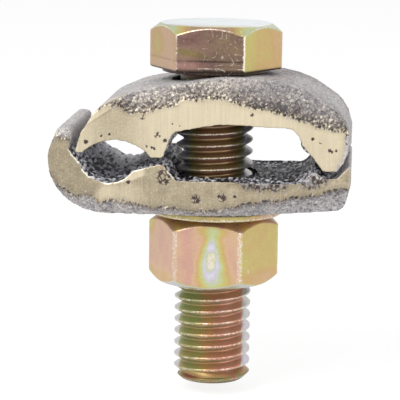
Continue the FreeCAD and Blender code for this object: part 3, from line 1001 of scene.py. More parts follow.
@dataclass
class CastCap(Casting):
    """The upper casting, with its toe, cable roof, middle foot, arch and right foot."""

    jaw_depth: float = 0.25
    grit_density: float = 5.0
    # painted highlights along the ridge above the crust
    ridge_light: float = 1.6

    def zones(self, points: np.ndarray, normals: np.ndarray) -> Zones:
        """The roof over the cable, the arch and the wall of the bolt hole are dark.

        Args:
            points: the casting's points in millimetres, one a row.
            normals: the directions that they face.

        Returns:
            The zones.
        """
        across, away, up = points.T
        inner = smooth(-21.2, -20.6, across) * smooth(20.3, 19.7, across) * smooth(0.3, 0.0, normals[:, 2])
        # the arch's right wall bulges inwards
        bulge = 0.7 * mound(across, up, (15.0, 11.4), (1.4, 1.5))
        # paler at the left and browner at the right
        bloom_and_painted_light = self.drifts(points) + 0.1 * smooth(5.0, -1.0, across) - 0.33 * bell(across, 13.0, 6.5)
        # palest in the middle, painted darker over the cable at the left as a painted reflection of a darker
        # surround, a little darker at the right, with a bevel along the toe
        above = up - 13.98 - 0.678 * (across + 20.13)
        bevel = 0.25 * smooth(0.0, 0.15, above) - 0.2 * bell(above, -0.08, 0.12)
        bevel = bevel * smooth(-14.2, -15.2, across)
        level = 0.93 - 0.3 * bell(across, -15.0, 4.5) - 0.05 * smooth(8.0, 16.0, across) + bevel
        # the crust reaches round the edge high at the right, and the belt went over the toe's upper edge
        squarely = 0.3 - 0.55 * smooth(3.0, 12.0, across) * smooth(12.5, 14.5, up)
        squarely += 0.6 * smooth(19.5, 20.3, across) * smooth(14.6, 13.8, up)
        toe = -0.5 + 1.6 * smooth(-14.0, -12.2, across) + 1.6 * smooth(-11.5, -5.0, away)
        return Zones(inner, bulge, bloom_and_painted_light, tone=level + 0.05 * fractal(points, 1.5, self.seed + 70, 4),
                     squarely=squarely, unground=np.where(up > 12.0, toe, OUT_OF_REACH))


@dataclass
class HexForm:
    """A hexagon with turned chamfers and softened corners, as radii about the bolt's axis."""

    flats: float
    low: float
    high: float
    # a chamfered end's flat disc, as a share of the width across the flats
    low_share: float | None = None
    high_share: float | None = None
    slope: float = math.tan(math.radians(37))
    corner_soft: float = 0.35
    edge_soft: float = 0.16
    low_roll: float = 0.16
    high_roll: float = 0.16

    def radius(self, angles: np.ndarray, height: float) -> tuple[np.ndarray, np.ndarray]:
        """Radii of the hexagon at one height.

        Args:
            angles: the directions, with a flat square to -90 degrees.
            height: the level.

        Returns:
            The radius in each direction, and how near each is to an edge, from 0 to 1.
        """
        half = self.flats / 2
        turned = (angles + TURN / 4) % (TURN / 6)
        out, near = soft_min(half / np.cos(turned), half / np.cos(turned - TURN / 6), self.corner_soft)
        for share, gap in ((self.low_share, height - self.low), (self.high_share, self.high - height)):
            if share is not None:
                cone = np.full_like(out, half * share + gap / self.slope)
                near = near * smooth(-0.1, 0.1, cone - out)
                out, edge = soft_min(out, cone, self.edge_soft)
                near = np.maximum(near, edge)
        for soft, gap in ((self.low_roll, height - self.low), (self.high_roll, self.high - height)):
            roll = max(soft - gap, 0.0)
            out = out - (soft - math.sqrt(soft**2 - roll**2))
            near = np.maximum(near, 0.5 * (0 < roll) * bell(np.full_like(out, gap), 0.6 * soft, 0.3 * soft))
        return out, near


def soft_min(first: np.ndarray, second: np.ndarray, soft: float) -> tuple[np.ndarray, np.ndarray]:
    """Take the smaller of two lengths, with the change between them rounded."""
    near = np.maximum(soft - np.abs(first - second), 0) / soft
    return np.minimum(first, second) - near * near * soft / 4, near


def column_angles(per_side: int = 22) -> np.ndarray:
    """Spread directions round the axis, drawn together towards the six corners of a hexagon.

    Args:
        per_side: how many there are on each side.

    Returns:
        The directions in radians.
    """
    share = (np.arange(per_side) + 0.5) / per_side * 2 - 1
    offset = (1.5 * share - 0.5 * share**3) * TURN / 12
    return np.concatenate([(i + 0.5) * TURN / 6 + offset for i in range(6)])


@dataclass(frozen=True)
class Leg:
    """A straight run of rings: where it ends, how many, if it is threaded, and its first and last wear."""

    height: float
    radius: float
    rings: int
    threaded: float = 0.0
    wear: tuple[float, float] = (0.0, 0.0)


@dataclass
class TurnedPiece(Piece):
    """A piece built of rings about the bolt's axis. Each ring has a height, a radius in each direction, how
    worn it is, and whether the thread runs over it."""

    slot: ClassVar[Slot] = Slot.PLATED
    flats: float = 18.9
    angles: np.ndarray = field(default_factory=column_angles)
    heights: list[float] = field(default_factory=list)
    radii: list[np.ndarray] = field(default_factory=list)
    wear: list[np.ndarray] = field(default_factory=list)
    threaded: list[float] = field(default_factory=list)

    def ring(self, height: float, radius: float | np.ndarray, wear: float | np.ndarray = 0.0,
             threaded: float = 0.0) -> None:
        """Add one ring.

        Args:
            height: its level.
            radius: its radius, or one in each direction.
            wear: how worn it is, from 0 to 1, or one in each direction.
            threaded: 1 where the thread runs over it.
        """
        ones = np.ones_like(self.angles)
        self.heights.append(height)
        self.radii.append(ones * radius)
        self.wear.append(ones * wear)
        self.threaded.append(threaded)

    def profile(self, start: tuple[float, float], *legs: Leg) -> None:
        """Add rings along straight legs. A leg's first and last rings lie a hair inside its ends.

        Args:
            start: the height and the radius where the first leg starts.
            legs: the legs, each from the end of the one before.
        """
        for leg in legs:
            ends = start, (leg.height, leg.radius)
            for i in range(leg.rings + 1):
                share = min(max(i / leg.rings, 0.02), 0.98)
                height, radius, wear = (low + (high - low) * share for low, high in (*zip(*ends), leg.wear))
                self.ring(height, radius, wear, leg.threaded)
            start = ends[1]

    def hex_side(self, form: HexForm, rings: int = 70) -> None:
        """Add the rings of a hexagon's side, closer together at its two ends.

        Args:
            form: the hexagon.
            rings: how many steps they make.
        """
        for i in range(rings + 1):
            share = i / rings * 2 - 1
            share = (1.5 * share - 0.5 * share**3) / 2 + 0.5
            height = form.low + (form.high - form.low) * share
            self.ring(height, *form.radius(self.angles, height))

    def disc(self, form: HexForm, height: float, inner: float, outwards: bool, rings: int = 6) -> None:
        """Add the rings of a flat end between a round inner edge and the hexagon's own.

        Args:
            form: the hexagon.
            height: the end's level.
            inner: the inner edge's radius.
            outwards: True to go from the inner edge to the hexagon.
            rings: how many steps they make.
        """
        edge, near = form.radius(self.angles, height)
        shares = np.linspace(0.0, 1.0, rings + 1)
        for share in shares if outwards else shares[::-1]:
            self.ring(height, inner + (edge - inner) * share, near * 0.5 * smooth(0.8, 1.0, share))

    def mesh(self, closed: bool) -> bpy.types.Object:
        """Join the rings into a closed mesh.

        Args:
            closed: True if the last ring meets the first, as round a bore. False if both ends are capped.

        Returns:
            The object, with its wear and threaded attributes.
        """
        rows, columns = len(self.heights), len(self.angles)
        neighbours = [(column, (column + 1) % columns) for column in range(columns)]
        radii, heights = np.array(self.radii).ravel(), np.repeat(self.heights, columns)
        angles = np.tile(self.angles, rows)
        points = np.stack([radii * np.cos(angles), radii * np.sin(angles), heights], axis=1)
        wear, threaded = np.array(self.wear).ravel(), np.repeat(self.threaded, columns)
        faces = []
        for row in range(rows if closed else rows - 1):
            below, above = row * columns, (row + 1) % rows * columns
            faces += [(below + column, below + beside, above + beside, above + column)
                      for column, beside in neighbours]
        if not closed:
            first, top = len(points), (rows - 1) * columns
            points = np.vstack([points, [[0, 0, self.heights[0]], [0, 0, self.heights[-1]]]])
            wear, threaded = np.append(wear, [0, 0]), np.append(threaded, [0, 0])
            for column, beside in neighbours:
                faces += [(first, beside, column), (first + 1, top + column, top + beside)]
        made = mesh_object(self.node + "_rings", points, faces)
        keep_values(made.data, wear=wear, threaded=threaded)
        return made

    def faces_of(self, points: np.ndarray) -> tuple[np.ndarray, np.ndarray]:
        """Which side of the hexagon each point is on, and where.

        Args:
            points: places, one a row.

        Returns:
            The side's number, 0 in front, 1 at its right and 5 at its left, and the millimetres from the
            side's middle towards the right.
        """
        angle = np.degrees(np.arctan2(points[:, 1], points[:, 0])) + 120
        offset = angle % 60 - 30
        return (angle // 60).astype(int) % 6, self.flats / 2 * np.tan(np.radians(offset))

    def paint(self, mesh: bpy.types.Mesh) -> dict[str, np.ndarray]:
        """Work out the film's thickness, tarnish and scuffs, and wear where it isn't the rings' own.

        Args:
            mesh: the settled mesh, in millimetres.

        Returns:
            A number for each point, by the name that the finish reads.
        """
        raise NotImplementedError

    def place(self, made: bpy.types.Object, material: bpy.types.Material, turn: float = 0.0,
              shift: float = 0.0) -> bpy.types.Object:
        """Give the settled mesh its film, move it and finish it.

        Args:
            made: the piece.
            material: the plate on it.
            turn: how far it is turned about the bolt's axis, in degrees.
            shift: how far it lies to the right, in millimetres.

        Returns:
            The finished piece.
        """
        keep_values(made.data, **self.paint(made.data))
        turned = Matrix.Rotation(math.radians(turn), 4, "Z")
        made.data.transform(Matrix.Translation((shift, 0.0, 0.0)) @ turned)
        return self.finish(made, material)


@dataclass
class HexBolt(TurnedPiece):
    """The half inch bolt: head with a washer face, neck, rolled thread and chamfered point."""

    crest: float = 6.3
    thread_depth: float = 1.18
    neck: float = 5.7
    neck_run: float = 1.8
    point: float = 1.1
    bearing: float = 8.7
    bearing_step: float = 0.45
    head_share: float = 0.95
    head_turn: float = -1.4
    seam_rise: float = 1.9
    phase: float = FRONT_CREST + PITCH / 4
    ragged: float = 0.12
    # the radius of the middle that the end caps close
    middle: float = 0.6

    @staticmethod
    def seat() -> float:
        """The height at which the bolt's washer face sits on the upper casting, in millimetres."""
        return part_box("clamp_cap")[1].z / MM

    def make(self, thread: ShapeTree, material: bpy.types.Material) -> bpy.types.Object:
        """Build, dress and place the bolt.

        Args:
            thread: the tree that cuts the thread.
            material: the plate on it.

        Returns:
            The finished bolt.
        """
        (_, _, low), (_, _, high) = self.corners()
        seat = self.seat()
        thread_top = seat - self.neck_run - (self.crest - self.neck)
        rings = int((thread_top - low - self.point) / (PITCH / 20))
        self.profile((low, self.middle), Leg(low, self.crest - self.point, 5),
                     Leg(low + self.point, self.crest, 14, 1.0), Leg(thread_top, self.crest, rings, 1.0),
                     Leg(seat - self.neck_run, self.neck, 4),
                     Leg(seat, self.neck, 4), Leg(seat, self.bearing, 5),
                     Leg(seat + self.bearing_step, self.bearing, 4))
        form = HexForm(self.flats, seat + self.bearing_step, high, high_share=self.head_share, low_roll=0.45,
                       corner_soft=0.5, edge_soft=0.22)
        self.disc(form, form.low, self.bearing, True)
        self.hex_side(form)
        self.disc(form, form.high, self.middle, False, 16)
        made = self.mesh(False)
        thread.run(made, {"Pitch": PITCH, "Crest Radius": self.crest, "Depth": self.thread_depth,
                          "Start": low - PITCH, "End": thread_top, "Run Out": PITCH, "Phase": self.phase,
                          "Way": Cut.SHANK.value, "Ragged": self.ragged})
        return self.place(settle(made, self.node + "_forged"), material, self.head_turn)

    def paint(self, mesh: bpy.types.Mesh) -> dict[str, np.ndarray]:
        """Paint the thread and the head.

        Args:
            mesh: the settled mesh, with its wear and groove.

        Returns:
            Film, tarnish, scuffs, wear and outside at each point.
        """
        points, normals = read_mesh(mesh)
        head = self.paint_head(points, normals, values_of(mesh, "wear"))
        shank = self.paint_shank(points, normals, values_of(mesh, "groove"))
        threaded = points[:, 2] < self.seat() - 0.5
        return {name: np.where(threaded, numbers, head.get(name, 0.0)) for name, numbers in shank.items()}

    def paint_head(self, points: np.ndarray, normals: np.ndarray, wear: np.ndarray) -> dict[str, np.ndarray]:
        """A brown front with an olive streak, pink and gold sides, a near-white top that is a painted
        reflection of the overhead light, and painted shade low on the head and under it.

        Args:
            points: places in millimetres, one a row.
            normals: the directions that they face.
            wear: how worn the rings are.

        Returns:
            Film, tarnish, scuffs and wear at each point.
        """
        across, away, up = points.T
        rise = up - self.seat() - self.bearing_step
        side, along = self.faces_of(points)
        front, right, left = side == 0, side == 1, side == 5
        patches = fractal(points, 4.0, 11)
        mottle = fractal(points, 1.4, 12)

        bend = rise - 3.0 + 0.22 * (along + 2.6) + 0.1 * mottle
        streak = smooth(-5.6, -4.4, along) * smooth(1.2, -1.6, along) * bell(bend, 0.0, 0.55)
        pink = smooth(0.5, -3.5, along) * bell(rise, 1.2, 0.55)
        browned = 0.67 + 0.1 * mottle - 0.3 * streak + 0.06 * pink - 0.09 * smooth(-2.5, 3.5, along)
        drips = fractal(points * np.array([1.0, 1.0, 0.25]), 0.9, 13)
        olive = mound(along, rise, (-2.0, 4.0), (2.3, 2.2))
        gilded = np.interp(along, (-5.4, -2.5, 0.0, 5.4), (0.34, 0.38, 0.45, 0.49)) + 0.12 * drips
        dull = layered(0.06, (left, 0.27),
                       (front, 0.68 + 0.06 * smooth(-3.0, 1.0, along) + 0.12 * mottle - 0.2 * pink))
        dull += (front | left) * 0.24 * bell(rise, self.seam_rise, 0.12) * smooth(-0.4, 0.0, mottle)
        # painted shade along the head's lowest edge, next to the cap
        dull += 0.25 * smooth(0.65, 0.4, rise) * (1 - 0.5 * left)

        # the top is painted near-white, a painted reflection of the overhead light
        top = (normals[:, 2] > 0.9) & (up > self.corners()[1][2] - 0.3)
        cone = (normals[:, 2] > 0.25) & (rise > 4) & ~top
        from_middle = np.abs(across + 0.2)
        greened = np.interp(from_middle, (0.0, 3.0, 4.5, 6.0, 10.0), (0.62, 0.55, 0.36, 0.19, 0.16))
        film = layered(0.5 + 0.14 * patches, (front, browned), (left, 0.56 - 0.2 * olive + 0.05 * mottle),
                       (right, gilded), (cone, greened),
                       (top, 0.01 + 0.17 * smooth(-4.0, -8.5, away) + 0.03 * patches))
        # under the head, and below its bearing face, painted shade
        under = (rise < 0.3) & (normals[:, 2] < -0.3)
        dull = layered(dull, (top, 0.09), (cone, 0.2 + 0.3 * smooth(5.0, 2.5, np.abs(across))),
                       (under | (rise < 0), 0.95))
        scuffs = np.where(front, 0.27 + 0.12 * smooth(-3.0, 2.0, along), 0.1)
        scuffs += right * 0.25 * smooth(2.5, 4.5, along) * smooth(3.5, 2.0, rise)
        corners = np.maximum(0.9 * smooth(4.9, 5.3, rise), 0.66 + 0.24 * (across > 0))
        worn = wear**0.7 * corners * smooth(0.2, 0.6, rise)
        worn = worn + front * 0.75 * bell(rise, 0.76, 0.1) * smooth(-0.3, 0.2, mottle)
        return {"film": film, "tarnish_and_shade": dull, "scuffs": scuffs, "wear": worn}

    def paint_shank(self, points: np.ndarray, normals: np.ndarray,
                    groove: np.ndarray) -> dict[str, np.ndarray]:
        """A thread from olive to rose, browner inside the clamp and painted darker there as painted shade,
        with painted shade on its downward flanks and in its roots, a neck under the head painted dark as
        painted shade, and a dark end.

        Args:
            points: places in millimetres, one a row.
            normals: the directions that they face.
            groove: how deep in the thread each point lies, from 0 to 1.

        Returns:
            Film, tarnish, scuffs, wear and outside at each point.
        """
        across, _, up = points.T
        patches, mottle = fractal(points, 4.0, 11), fractal(points, 1.4, 12)
        film = np.interp(across, (-6.0, -4.5, -1.5, -0.3, 1.5, 3.0, 5.0),
                         (1.0, 1.0, 0.97, 0.89, 0.84, 0.8, 0.83)) + 0.05 * patches
        # downward flanks get a pale green film and painted shade
        under_flank = smooth(-0.1, -0.5, normals[:, 2]) * smooth(0.05, 0.2, groove)
        film = film * (1 - under_flank) + 0.17 * under_flank
        # inside the clamp the thread is browner in the middle and painted darker, painted shade from the
        # castings round it
        inside = smooth(2.5, 4.5, up) * smooth(19.0, 16.5, up)
        gold = 0.37 + 0.28 * smooth(0.1, -0.3, normals[:, 2])
        gold *= smooth(-4.6, -1.6, across) * smooth(5.6, 3.4, across)
        film = film * (1 - inside) + inside * (0.07 + 0.03 * patches + gold)
        end = smooth(1.7, 1.3, up - self.corners()[0][2])
        # darker in the roots and on the downward flanks as painted shade, and at the end
        dark = 0.02 + 0.14 * smooth(0.85, 1.0, groove) + 0.22 * under_flank + 0.35 * end
        # how much painted shade falls on the thread inside the clamp
        dim = 0.34 + 0.08 * bell(across, 0.6, 3.5) + 0.3 * bell(groove, 0.75, 0.2)
        # the neck under the head is painted dark olive, painted shade
        neck = up > self.seat() - self.neck_run - 0.8
        dark = np.where(neck, 0.85, np.maximum(dark, inside * dim))
        film = np.where(end > 0.5, 0.97 - 0.12 * smooth(0.0, 0.3, mottle), film)
        crest = smooth(0.14, 0.02, groove) * (0.62 + 0.1 * inside - 0.12 * end) * ~neck
        # how far the teeth stand out past the core, where the finish paints a pale reflection
        outside = np.abs(across) - (self.crest - self.thread_depth)
        return {"film": np.where(neck, 1.0, film), "tarnish_and_shade": dark, "scuffs": np.zeros(len(points)),
                "wear": crest, "outside": np.where(~neck & (end < 0.5), outside, 0.0)}


@dataclass
class HexNut(TurnedPiece):
    """The half inch nut, chamfered on both faces, with its own thread in the bore."""

    crest: float = 5.35
    thread_depth: float = 1.12
    mouth: float = 6.85
    low_share: float = 0.97
    high_share: float = 0.88
    corner_soft: float = 0.8
    nut_turn: float = -2.0
    phase: float = FRONT_CREST + PITCH * 3 / 4

    def make(self, thread: ShapeTree, material: bpy.types.Material) -> bpy.types.Object:
        """Build, dress and place the nut.

        Args:
            thread: the tree that cuts the thread.
            material: the plate on it.

        Returns:
            The finished nut.
        """
        (_, _, low), (_, _, high) = self.corners()
        form = HexForm(self.flats, low, high, self.low_share, self.high_share, corner_soft=self.corner_soft)
        self.disc(form, low, self.mouth, True)
        self.hex_side(form)
        self.disc(form, high, self.mouth, False)
        bevel = self.mouth - self.crest
        rings = int((high - low - bevel) / (PITCH / 22))
        self.profile((high, self.mouth), Leg(high - bevel / 2, self.crest, 8, 1.0),
                     Leg(low + bevel / 2, self.crest, rings, 1.0), Leg(low, self.mouth, 8, 1.0))
        made = self.mesh(True)
        thread.run(made, {"Pitch": PITCH, "Crest Radius": self.crest, "Depth": self.thread_depth,
                          "Start": low - PITCH, "End": high + PITCH, "Run Out": 0.5, "Way": Cut.BORE.value,
                          "Phase": self.phase, "Ragged": 0.0})
        return self.place(settle(made, self.node + "_forged"), material, self.nut_turn)

    def paint(self, mesh: bpy.types.Mesh) -> dict[str, np.ndarray]:
        """A painted reflection of a lamp down the middle of the pink front, a pink left side and a gold
        right side.

        Args:
            mesh: the settled mesh, with its wear.

        Returns:
            Film, tarnish, scuffs and wear at each point.
        """
        points, normals = read_mesh(mesh)
        across, away, up = points.T
        (_, _, low), (_, _, high) = self.corners()
        side, along = self.faces_of(points)
        front, right, left = side == 0, side == 1, side == 5
        patches = fractal(points, 4.0, 21)
        mottle = fractal(points, 1.2, 22)

        # a painted reflection of a lamp on the front: a pale upright spot with rings of film colour round it
        lamp_reflection = np.hypot((along - 0.7) / (1.15 - 0.12 * (up + 7.4)), (up + 7.6) / 3.4) + 0.12 * mottle
        lamp_reflection = np.where((lamp_reflection > 1.0) & (along > 0.7), 0.35 + 0.65 * lamp_reflection, lamp_reflection)
        lamp_reflection_film = np.interp(lamp_reflection, (0.0, 0.3, 0.55, 0.75, 0.95, 1.15, 1.4, 1.8, 2.4, 3.0),
                              (0.36, 0.3, 0.12, 0.04, 0.1, 0.2, 0.32, 0.5, 0.62, 0.58))
        patch = bell(along, 0.9, 1.9) * smooth(-4.2, -3.0, up)
        lamp_reflection_film = lamp_reflection_film * (1 - patch) + 0.24 * patch
        rosy = bell(along, -3.2, 1.2) * (lamp_reflection > 1.8)
        corner = mound(along, up, (-4.5, -2.2), (2.2, 2.4))
        gold = smooth(-9.0, -11.0, up)
        # the upper chamfer is mottled and painted darker, partly painted shade under the washer
        upper = (normals[:, 2] > 0.25) & (up > high - 3.5)
        # the lower chamfer is painted pale, a painted reflection of the white floor
        lower = (normals[:, 2] < -0.25) & (up < low + 3.5)
        inside = np.hypot(across, away) < self.mouth + 0.3
        film = layered(0.5 + 0.12 * patches, (front, lamp_reflection_film + 0.03 * mottle + 0.08 * rosy),
                       (left, 0.61 - 0.32 * corner - 0.12 * gold + 0.04 * mottle),
                       (right, 0.37 + 0.05 * patches + 0.03 * mottle + 0.12 * gold),
                       (lower, 0.17 + 0.08 * patches), (upper, 0.56 + 0.3 * mottle), (inside, 0.5))
        # less dark in the painted reflection on the front
        dull = layered(0.06 + 0.04 * mottle - 0.05 * front * smooth(1.6, 0.8, lamp_reflection), (lower, 0.05),
                       (upper, 0.2 + 0.3 * mottle), (inside, 0.5))
        scuffs = layered(0.0, (right | left, 0.12), (front, 0.2))
        scuffs += right * 0.4 * mound(along, up, (-3.8, -9.3), (1.0, 1.4))
        corners = 0.64 * smooth(4.5, 4.8, np.abs(along)) * ~(upper | lower)
        wear = np.maximum(0.7 * values_of(mesh, "wear") ** 0.6, corners)
        # the painted reflection's middle is painted pale
        wear = wear + front * 0.95 * smooth(0.6, 0.4, lamp_reflection)
        # the lower chamfer is kept pale as a painted reflection of the floor; the upper one keeps less of
        # the pale edges
        wear = layered(wear, (upper & ~front, 0.6 * wear), (lower, np.maximum(wear, 0.4)), (inside, 0.0))
        return {"film": film, "tarnish_and_shade": dull, "scuffs": scuffs, "wear": wear}


@dataclass
class PlainWasher(TurnedPiece):
    """The thin punched washer, a little off the bolt's axis."""

    inner: float = 6.95
    outer: float = 10.8
    shift: float = 0.45
    edge: float = 0.3
    rim: float = 0.12

    def make(self, material: bpy.types.Material) -> bpy.types.Object:
        """Build, dress and place the washer.

        Args:
            material: the plate on it.

        Returns:
            The finished washer.
        """
        (_, _, low), (_, _, high) = self.corners()
        inner, outer, rim = self.inner, self.outer, self.rim
        self.profile((low, inner + rim), Leg(low, outer - self.edge, 8))
        for angle in np.linspace(0.0, TURN / 4, 7):
            self.ring(low + self.edge * (1 - math.cos(angle)), outer - self.edge * (1 - math.sin(angle)),
                      0.75 * math.sin(angle))
        self.profile((low + self.edge, outer), Leg(high - rim, outer, 4, wear=(0.6, 0.1)),
                     Leg(high, outer - rim, 2, wear=(0.7, 0.5)), Leg(high, inner + rim, 8),
                     Leg(high - rim, inner, 2), Leg(low + rim, inner, 3), Leg(low, inner + rim, 2))
        made = self.mesh(True)
        made.name = made.data.name = self.node + "_punched"
        return self.place(made, material, shift=self.shift)

    def paint(self, mesh: bpy.types.Mesh) -> dict[str, np.ndarray]:
        """Gold to olive, greener at the left and pinker at the right, with a painted shadow along the top
        edge, under the base.

        Args:
            mesh: the washer's mesh.

        Returns:
            Film, tarnish and scuffs at each point.
        """
        points, _ = read_mesh(mesh)
        across, _, up = points.T
        high = self.corners()[1][2]
        film = 0.37 + 0.2 * smooth(3.0, 10.0, across) + 0.12 * fractal(points, 3.0, 31)
        # mottled darker, and darker near the top edge: a painted shadow in the gap under the base
        tarnish_and_shade = 0.3 + 0.45 * fractal(points, 1.2, 32) + 0.5 * smooth(high - 0.35, high - 0.1, up)
        return {"film": film, "tarnish_and_shade": tarnish_and_shade, "scuffs": np.zeros(len(points))}


@dataclass(frozen=True)
class Lamp:
    """One soft lamp: where it stands, what it points at, how large and how strong it is."""

    name: str
    place: tuple[float, float, float]
    size: float
    power: float
    colour: str = "#FFFFFF"
    aim: tuple[float, float, float] = (0.0, 0.0, 0.004)


@dataclass
class Studio:
    """A pale floor, a white surround, soft lamps, and the camera where the photographer's stood."""

    # from the photograph: the view is this far round, up and tilted, at this distance and focal length
    round_degrees: float = 4.5
    up_degrees: float = 9.889
    tilt_degrees: float = 0.746
    distance: float = 0.32533
    aim: tuple[float, float, float] = (-0.002284, 0.0, 0.000717)
    focal: float = 177.67
    sensor: float = 36.0
    floor_drop: float = 0.002
    floor_reach: float = 1.2
    floor_glow: float = 0.85
    sky: float = 0.62
    lamps: tuple[Lamp, ...] = (
        Lamp("key_lamp", (-0.25, -0.35, 0.42), 0.30, 2.0),
        Lamp("fill_lamp", (0.40, -0.30, 0.15), 0.35, 0.6),
        Lamp("rim_lamp", (0.10, 0.45, 0.40), 0.35, 0.25),
    )

    def make(self) -> None:
        """Build the floor, world, lamps and camera."""
        self.make_floor()
        self.make_world()
        for lamp in self.lamps:
            self.make_lamp(lamp)
        self.make_camera()
        bpy.context.scene.view_settings.view_transform = "Standard"

    def make_floor(self) -> None:
        """Lay the pale floor just under the bolt's end."""
        level, reach = CAD_BOX[0].z - self.floor_drop, self.floor_reach
        corners = np.array([(x * reach, y * reach, level) for x, y in ((-1, -1), (1, -1), (1, 1), (-1, 1))])
        floor = mesh_object("floor", corners, [(0, 1, 2, 3)])
        material, graph = start_material("white_card")
        self.see(graph)
        paper = graph.add("ShaderNodeBsdfDiffuse", {"Color": linear("#F2F2F2")})
        card = graph.add("ShaderNodeBsdfDiffuse", {"Color": linear("#7A7A7A")})
        glow = graph.add("ShaderNodeEmission", {"Color": linear("#FFFFFF"), "Strength": self.floor_glow})
        lit = graph.add("ShaderNodeAddShader", {0: card, 1: glow})
        shown = graph.add("ShaderNodeMixShader", {0: "seen", 1: paper, 2: lit})
        graph.add("ShaderNodeOutputMaterial", {"Surface": shown})
        floor.data.materials.append(material)

    @staticmethod
    def see(graph: Graph) -> None:
        """Tell what the camera sees straight on, in metal or through glass from what gives light.

        Args:
            graph: the graph that keeps the answer, 1 or 0, as "seen".
        """
        rays = ("Camera", "Glossy", "Transmission")
        graph.add("ShaderNodeLightPath", keep={ray: f"Is {ray} Ray" for ray in rays})
        graph.work_out(("seen", "MAXIMUM", "Camera", "Glossy"), ("seen", "MAXIMUM", "seen", "Transmission"))

    def make_world(self) -> None:
        """Surround the object with white to look at and an even sky to be lit by."""
        world = bpy.data.worlds.new("white_surround")
        world.use_nodes = True
        world.node_tree.nodes.clear()
        graph = Graph(world.node_tree)
        self.see(graph)
        light, white = (graph.add("ShaderNodeBackground", {"Color": linear("#FFFFFF"), "Strength": strength})
                        for strength in (self.sky, 1.0))
        shown = graph.add("ShaderNodeMixShader", {0: "seen", 1: light, 2: white})
        graph.add("ShaderNodeOutputWorld", {"Surface": shown})
        bpy.context.scene.world = world

    @staticmethod
    def make_lamp(lamp: Lamp) -> None:
        """Hang one square lamp that faces its aim.

        Args:
            lamp: the lamp.
        """
        data = bpy.data.lights.new(lamp.name, "AREA")
        data.size = lamp.size
        data.energy = lamp.power
        data.color = linear(lamp.colour)[:3]
        hung = bpy.data.objects.new(lamp.name, data)
        hung.location = lamp.place
        hung.rotation_mode = "QUATERNION"
        hung.rotation_quaternion = (Vector(lamp.aim) - Vector(lamp.place)).to_track_quat("-Z", "Y")
        bpy.context.scene.collection.objects.link(hung)

    def make_camera(self) -> None:
        """Stand the camera where the photograph was taken from."""
        turn = Matrix.Rotation(math.radians(self.round_degrees), 3, "Z")
        up_angle, tilt = math.radians(self.up_degrees), math.radians(self.tilt_degrees)
        forward = turn @ Vector((0, math.cos(up_angle), -math.sin(up_angle)))
        right = turn @ Vector((1, 0, 0))
        above = turn @ Vector((0, math.sin(up_angle), math.cos(up_angle)))
        level = right * math.cos(tilt) + above * math.sin(tilt)
        upright = above * math.cos(tilt) - right * math.sin(tilt)
        data = bpy.data.cameras.new("camera")
        data.lens = self.focal
        data.sensor_width = self.sensor
        data.clip_start, data.clip_end = 0.01, 10.0
        camera = bpy.data.objects.new("camera", data)
        basis = Matrix((level, upright, -forward)).transposed().to_4x4()
        camera.matrix_world = Matrix.Translation(turn @ Vector(self.aim) - forward * self.distance) @ basis
        bpy.context.scene.collection.objects.link(camera)
        bpy.context.scene.camera = camera


# where the belt stopped on each casting, and the pits that it opened, as X, Z and a radius
BASE_GROUND: Outline = (
    (-26.5, 7.4), (-25.0, 6.2), (-23.9, 4.7), (-21.5, 3.3), (-18.3, 3.1), (-17.3, 2.0), (-15.7, 2.45),
    (-12.9, 2.2), (-9.5, 1.4), (-6.9, 1.5), (-2.5, 1.1), (-0.1, 1.25), (3.5, 1.75), (6.6, 2.65),
    (11.4, 3.0), (13.7, 3.65), (17.0, 4.1), (19.5, 5.0), (24.0, 5.4), (24.0, 14.0), (19.2, 14.0),
    (18.9, 7.0), (18.4, 5.7), (17.4, 5.3), (16.6, 5.4), (15.3, 5.2), (14.5, 5.8), (12.8, 5.7), (12.0, 4.8),
    (10.9, 4.9), (9.9, 4.9), (9.0, 5.0), (7.8, 4.6), (6.5, 4.9), (5.8, 5.0), (4.6, 5.8), (4.2, 14.0),
    (-20.0, 14.0), (-21.9, 11.6), (-22.8, 12.1), (-23.7, 12.2), (-24.4, 12.7), (-25.0, 11.9), (-27.0, 11.0),
)
BASE_PITS: tuple[Spot, ...] = (
    (-12.8, 5.4, 0.38), (-7.83, 6.6, 0.32), (-7.7, 5.5, 0.36), (-6.7, 5.5, 0.42), (-6.3, 6.5, 0.4),
    (-6.65, 7.7, 0.32), (-2.3, 3.1, 0.34), (-1.7, 2.6, 0.4), (1.7, 3.4, 0.35), (2.4, 3.2, 0.38),
    (4.2, 3.5, 0.36), (6.6, 5.4, 0.42), (7.8, 5.0, 0.45), (9.9, 5.5, 0.42), (10.8, 5.4, 0.45),
    (12.0, 5.1, 0.36), (16.6, 6.8, 0.42), (17.3, 6.1, 0.45), (17.9, 6.1, 0.36), (13.9, 3.6, 0.36),
)
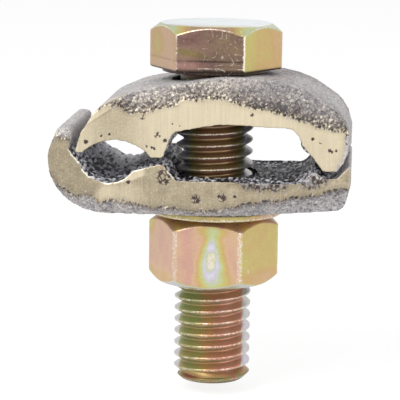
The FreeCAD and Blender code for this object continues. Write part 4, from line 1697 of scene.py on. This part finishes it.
BASE_CRACKS: tuple[Spot, ...] = (
    (-7.2, 6.4, 1.35), (-2.0, 2.9, 0.9), (2.2, 3.3, 0.8), (7.4, 5.3, 0.9), (10.4, 5.3, 1.0),
    (17.1, 6.4, 1.0),
)
CAP_GROUND: Outline = (
    (-23.0, 14.4), (-20.4, 14.9), (-18.8, 16.4), (-16.4, 17.6), (-14.4, 17.6), (-12.6, 16.5), (-9.8, 16.6),
    (-7.5, 17.4), (-5.1, 17.9), (-4.4, 18.7), (-1.7, 18.8), (1.6, 19.0), (4.0, 18.3), (7.5, 17.6),
    (11.5, 16.7), (15.4, 15.4), (19.1, 14.5), (22.1, 14.4), (21.4, 13.0), (21.0, 10.6), (20.5, 8.5),
    (20.2, 5.0), (-23.0, 5.0),
)
CAP_PITS: tuple[Spot, ...] = (
    (-17.15, 12.75, 0.28), (-15.85, 13.0, 0.3), (-19.6, 11.7, 0.44), (-8.2, 13.3, 0.28), (-8.5, 12.8, 0.24),
    (-7.9, 12.85, 0.24), (-7.0, 12.2, 0.4), (-9.95, 11.2, 0.26), (-9.05, 11.05, 0.3), (-8.65, 10.9, 0.28),
    (-5.8, 14.85, 0.2), (-4.75, 14.55, 0.18), (6.7, 16.6, 0.34), (16.3, 13.0, 0.34), (17.5, 12.3, 0.22),
    (19.0, 11.2, 0.38), (20.0, 11.2, 0.26), (19.4, 11.0, 0.24),
)
CAP_CRACKS: tuple[Spot, ...] = ((-10.6, 15.9, 0.5),)


def main() -> None:
    """Build every piece and the studio."""
    logging.basicConfig(level=logging.INFO, format="%(name)s: %(message)s")
    bronze, plated = SandCastBronze().build(), YellowChromate().build()
    thread = thread_tree(plated)
    pieces = (
        CastBase("clamp_base", "base", 101, BASE_GROUND, BASE_PITS, BASE_CRACKS).make(bronze),
        CastCap("clamp_cap", "cap", 202, CAP_GROUND, CAP_PITS, CAP_CRACKS).make(bronze),
        HexBolt("hex_bolt", "bolt").make(thread, plated),
        HexNut("hex_nut", "nut").make(thread, plated),
        PlainWasher("flat_washer", "base").make(plated),
    )
    for piece in pieces:
        LOG.info("%s: %d faces of %s", piece.name, len(piece.data.polygons), piece.data.materials[0].name)
    Studio().make()


if __name__ == "__main__":
    main()
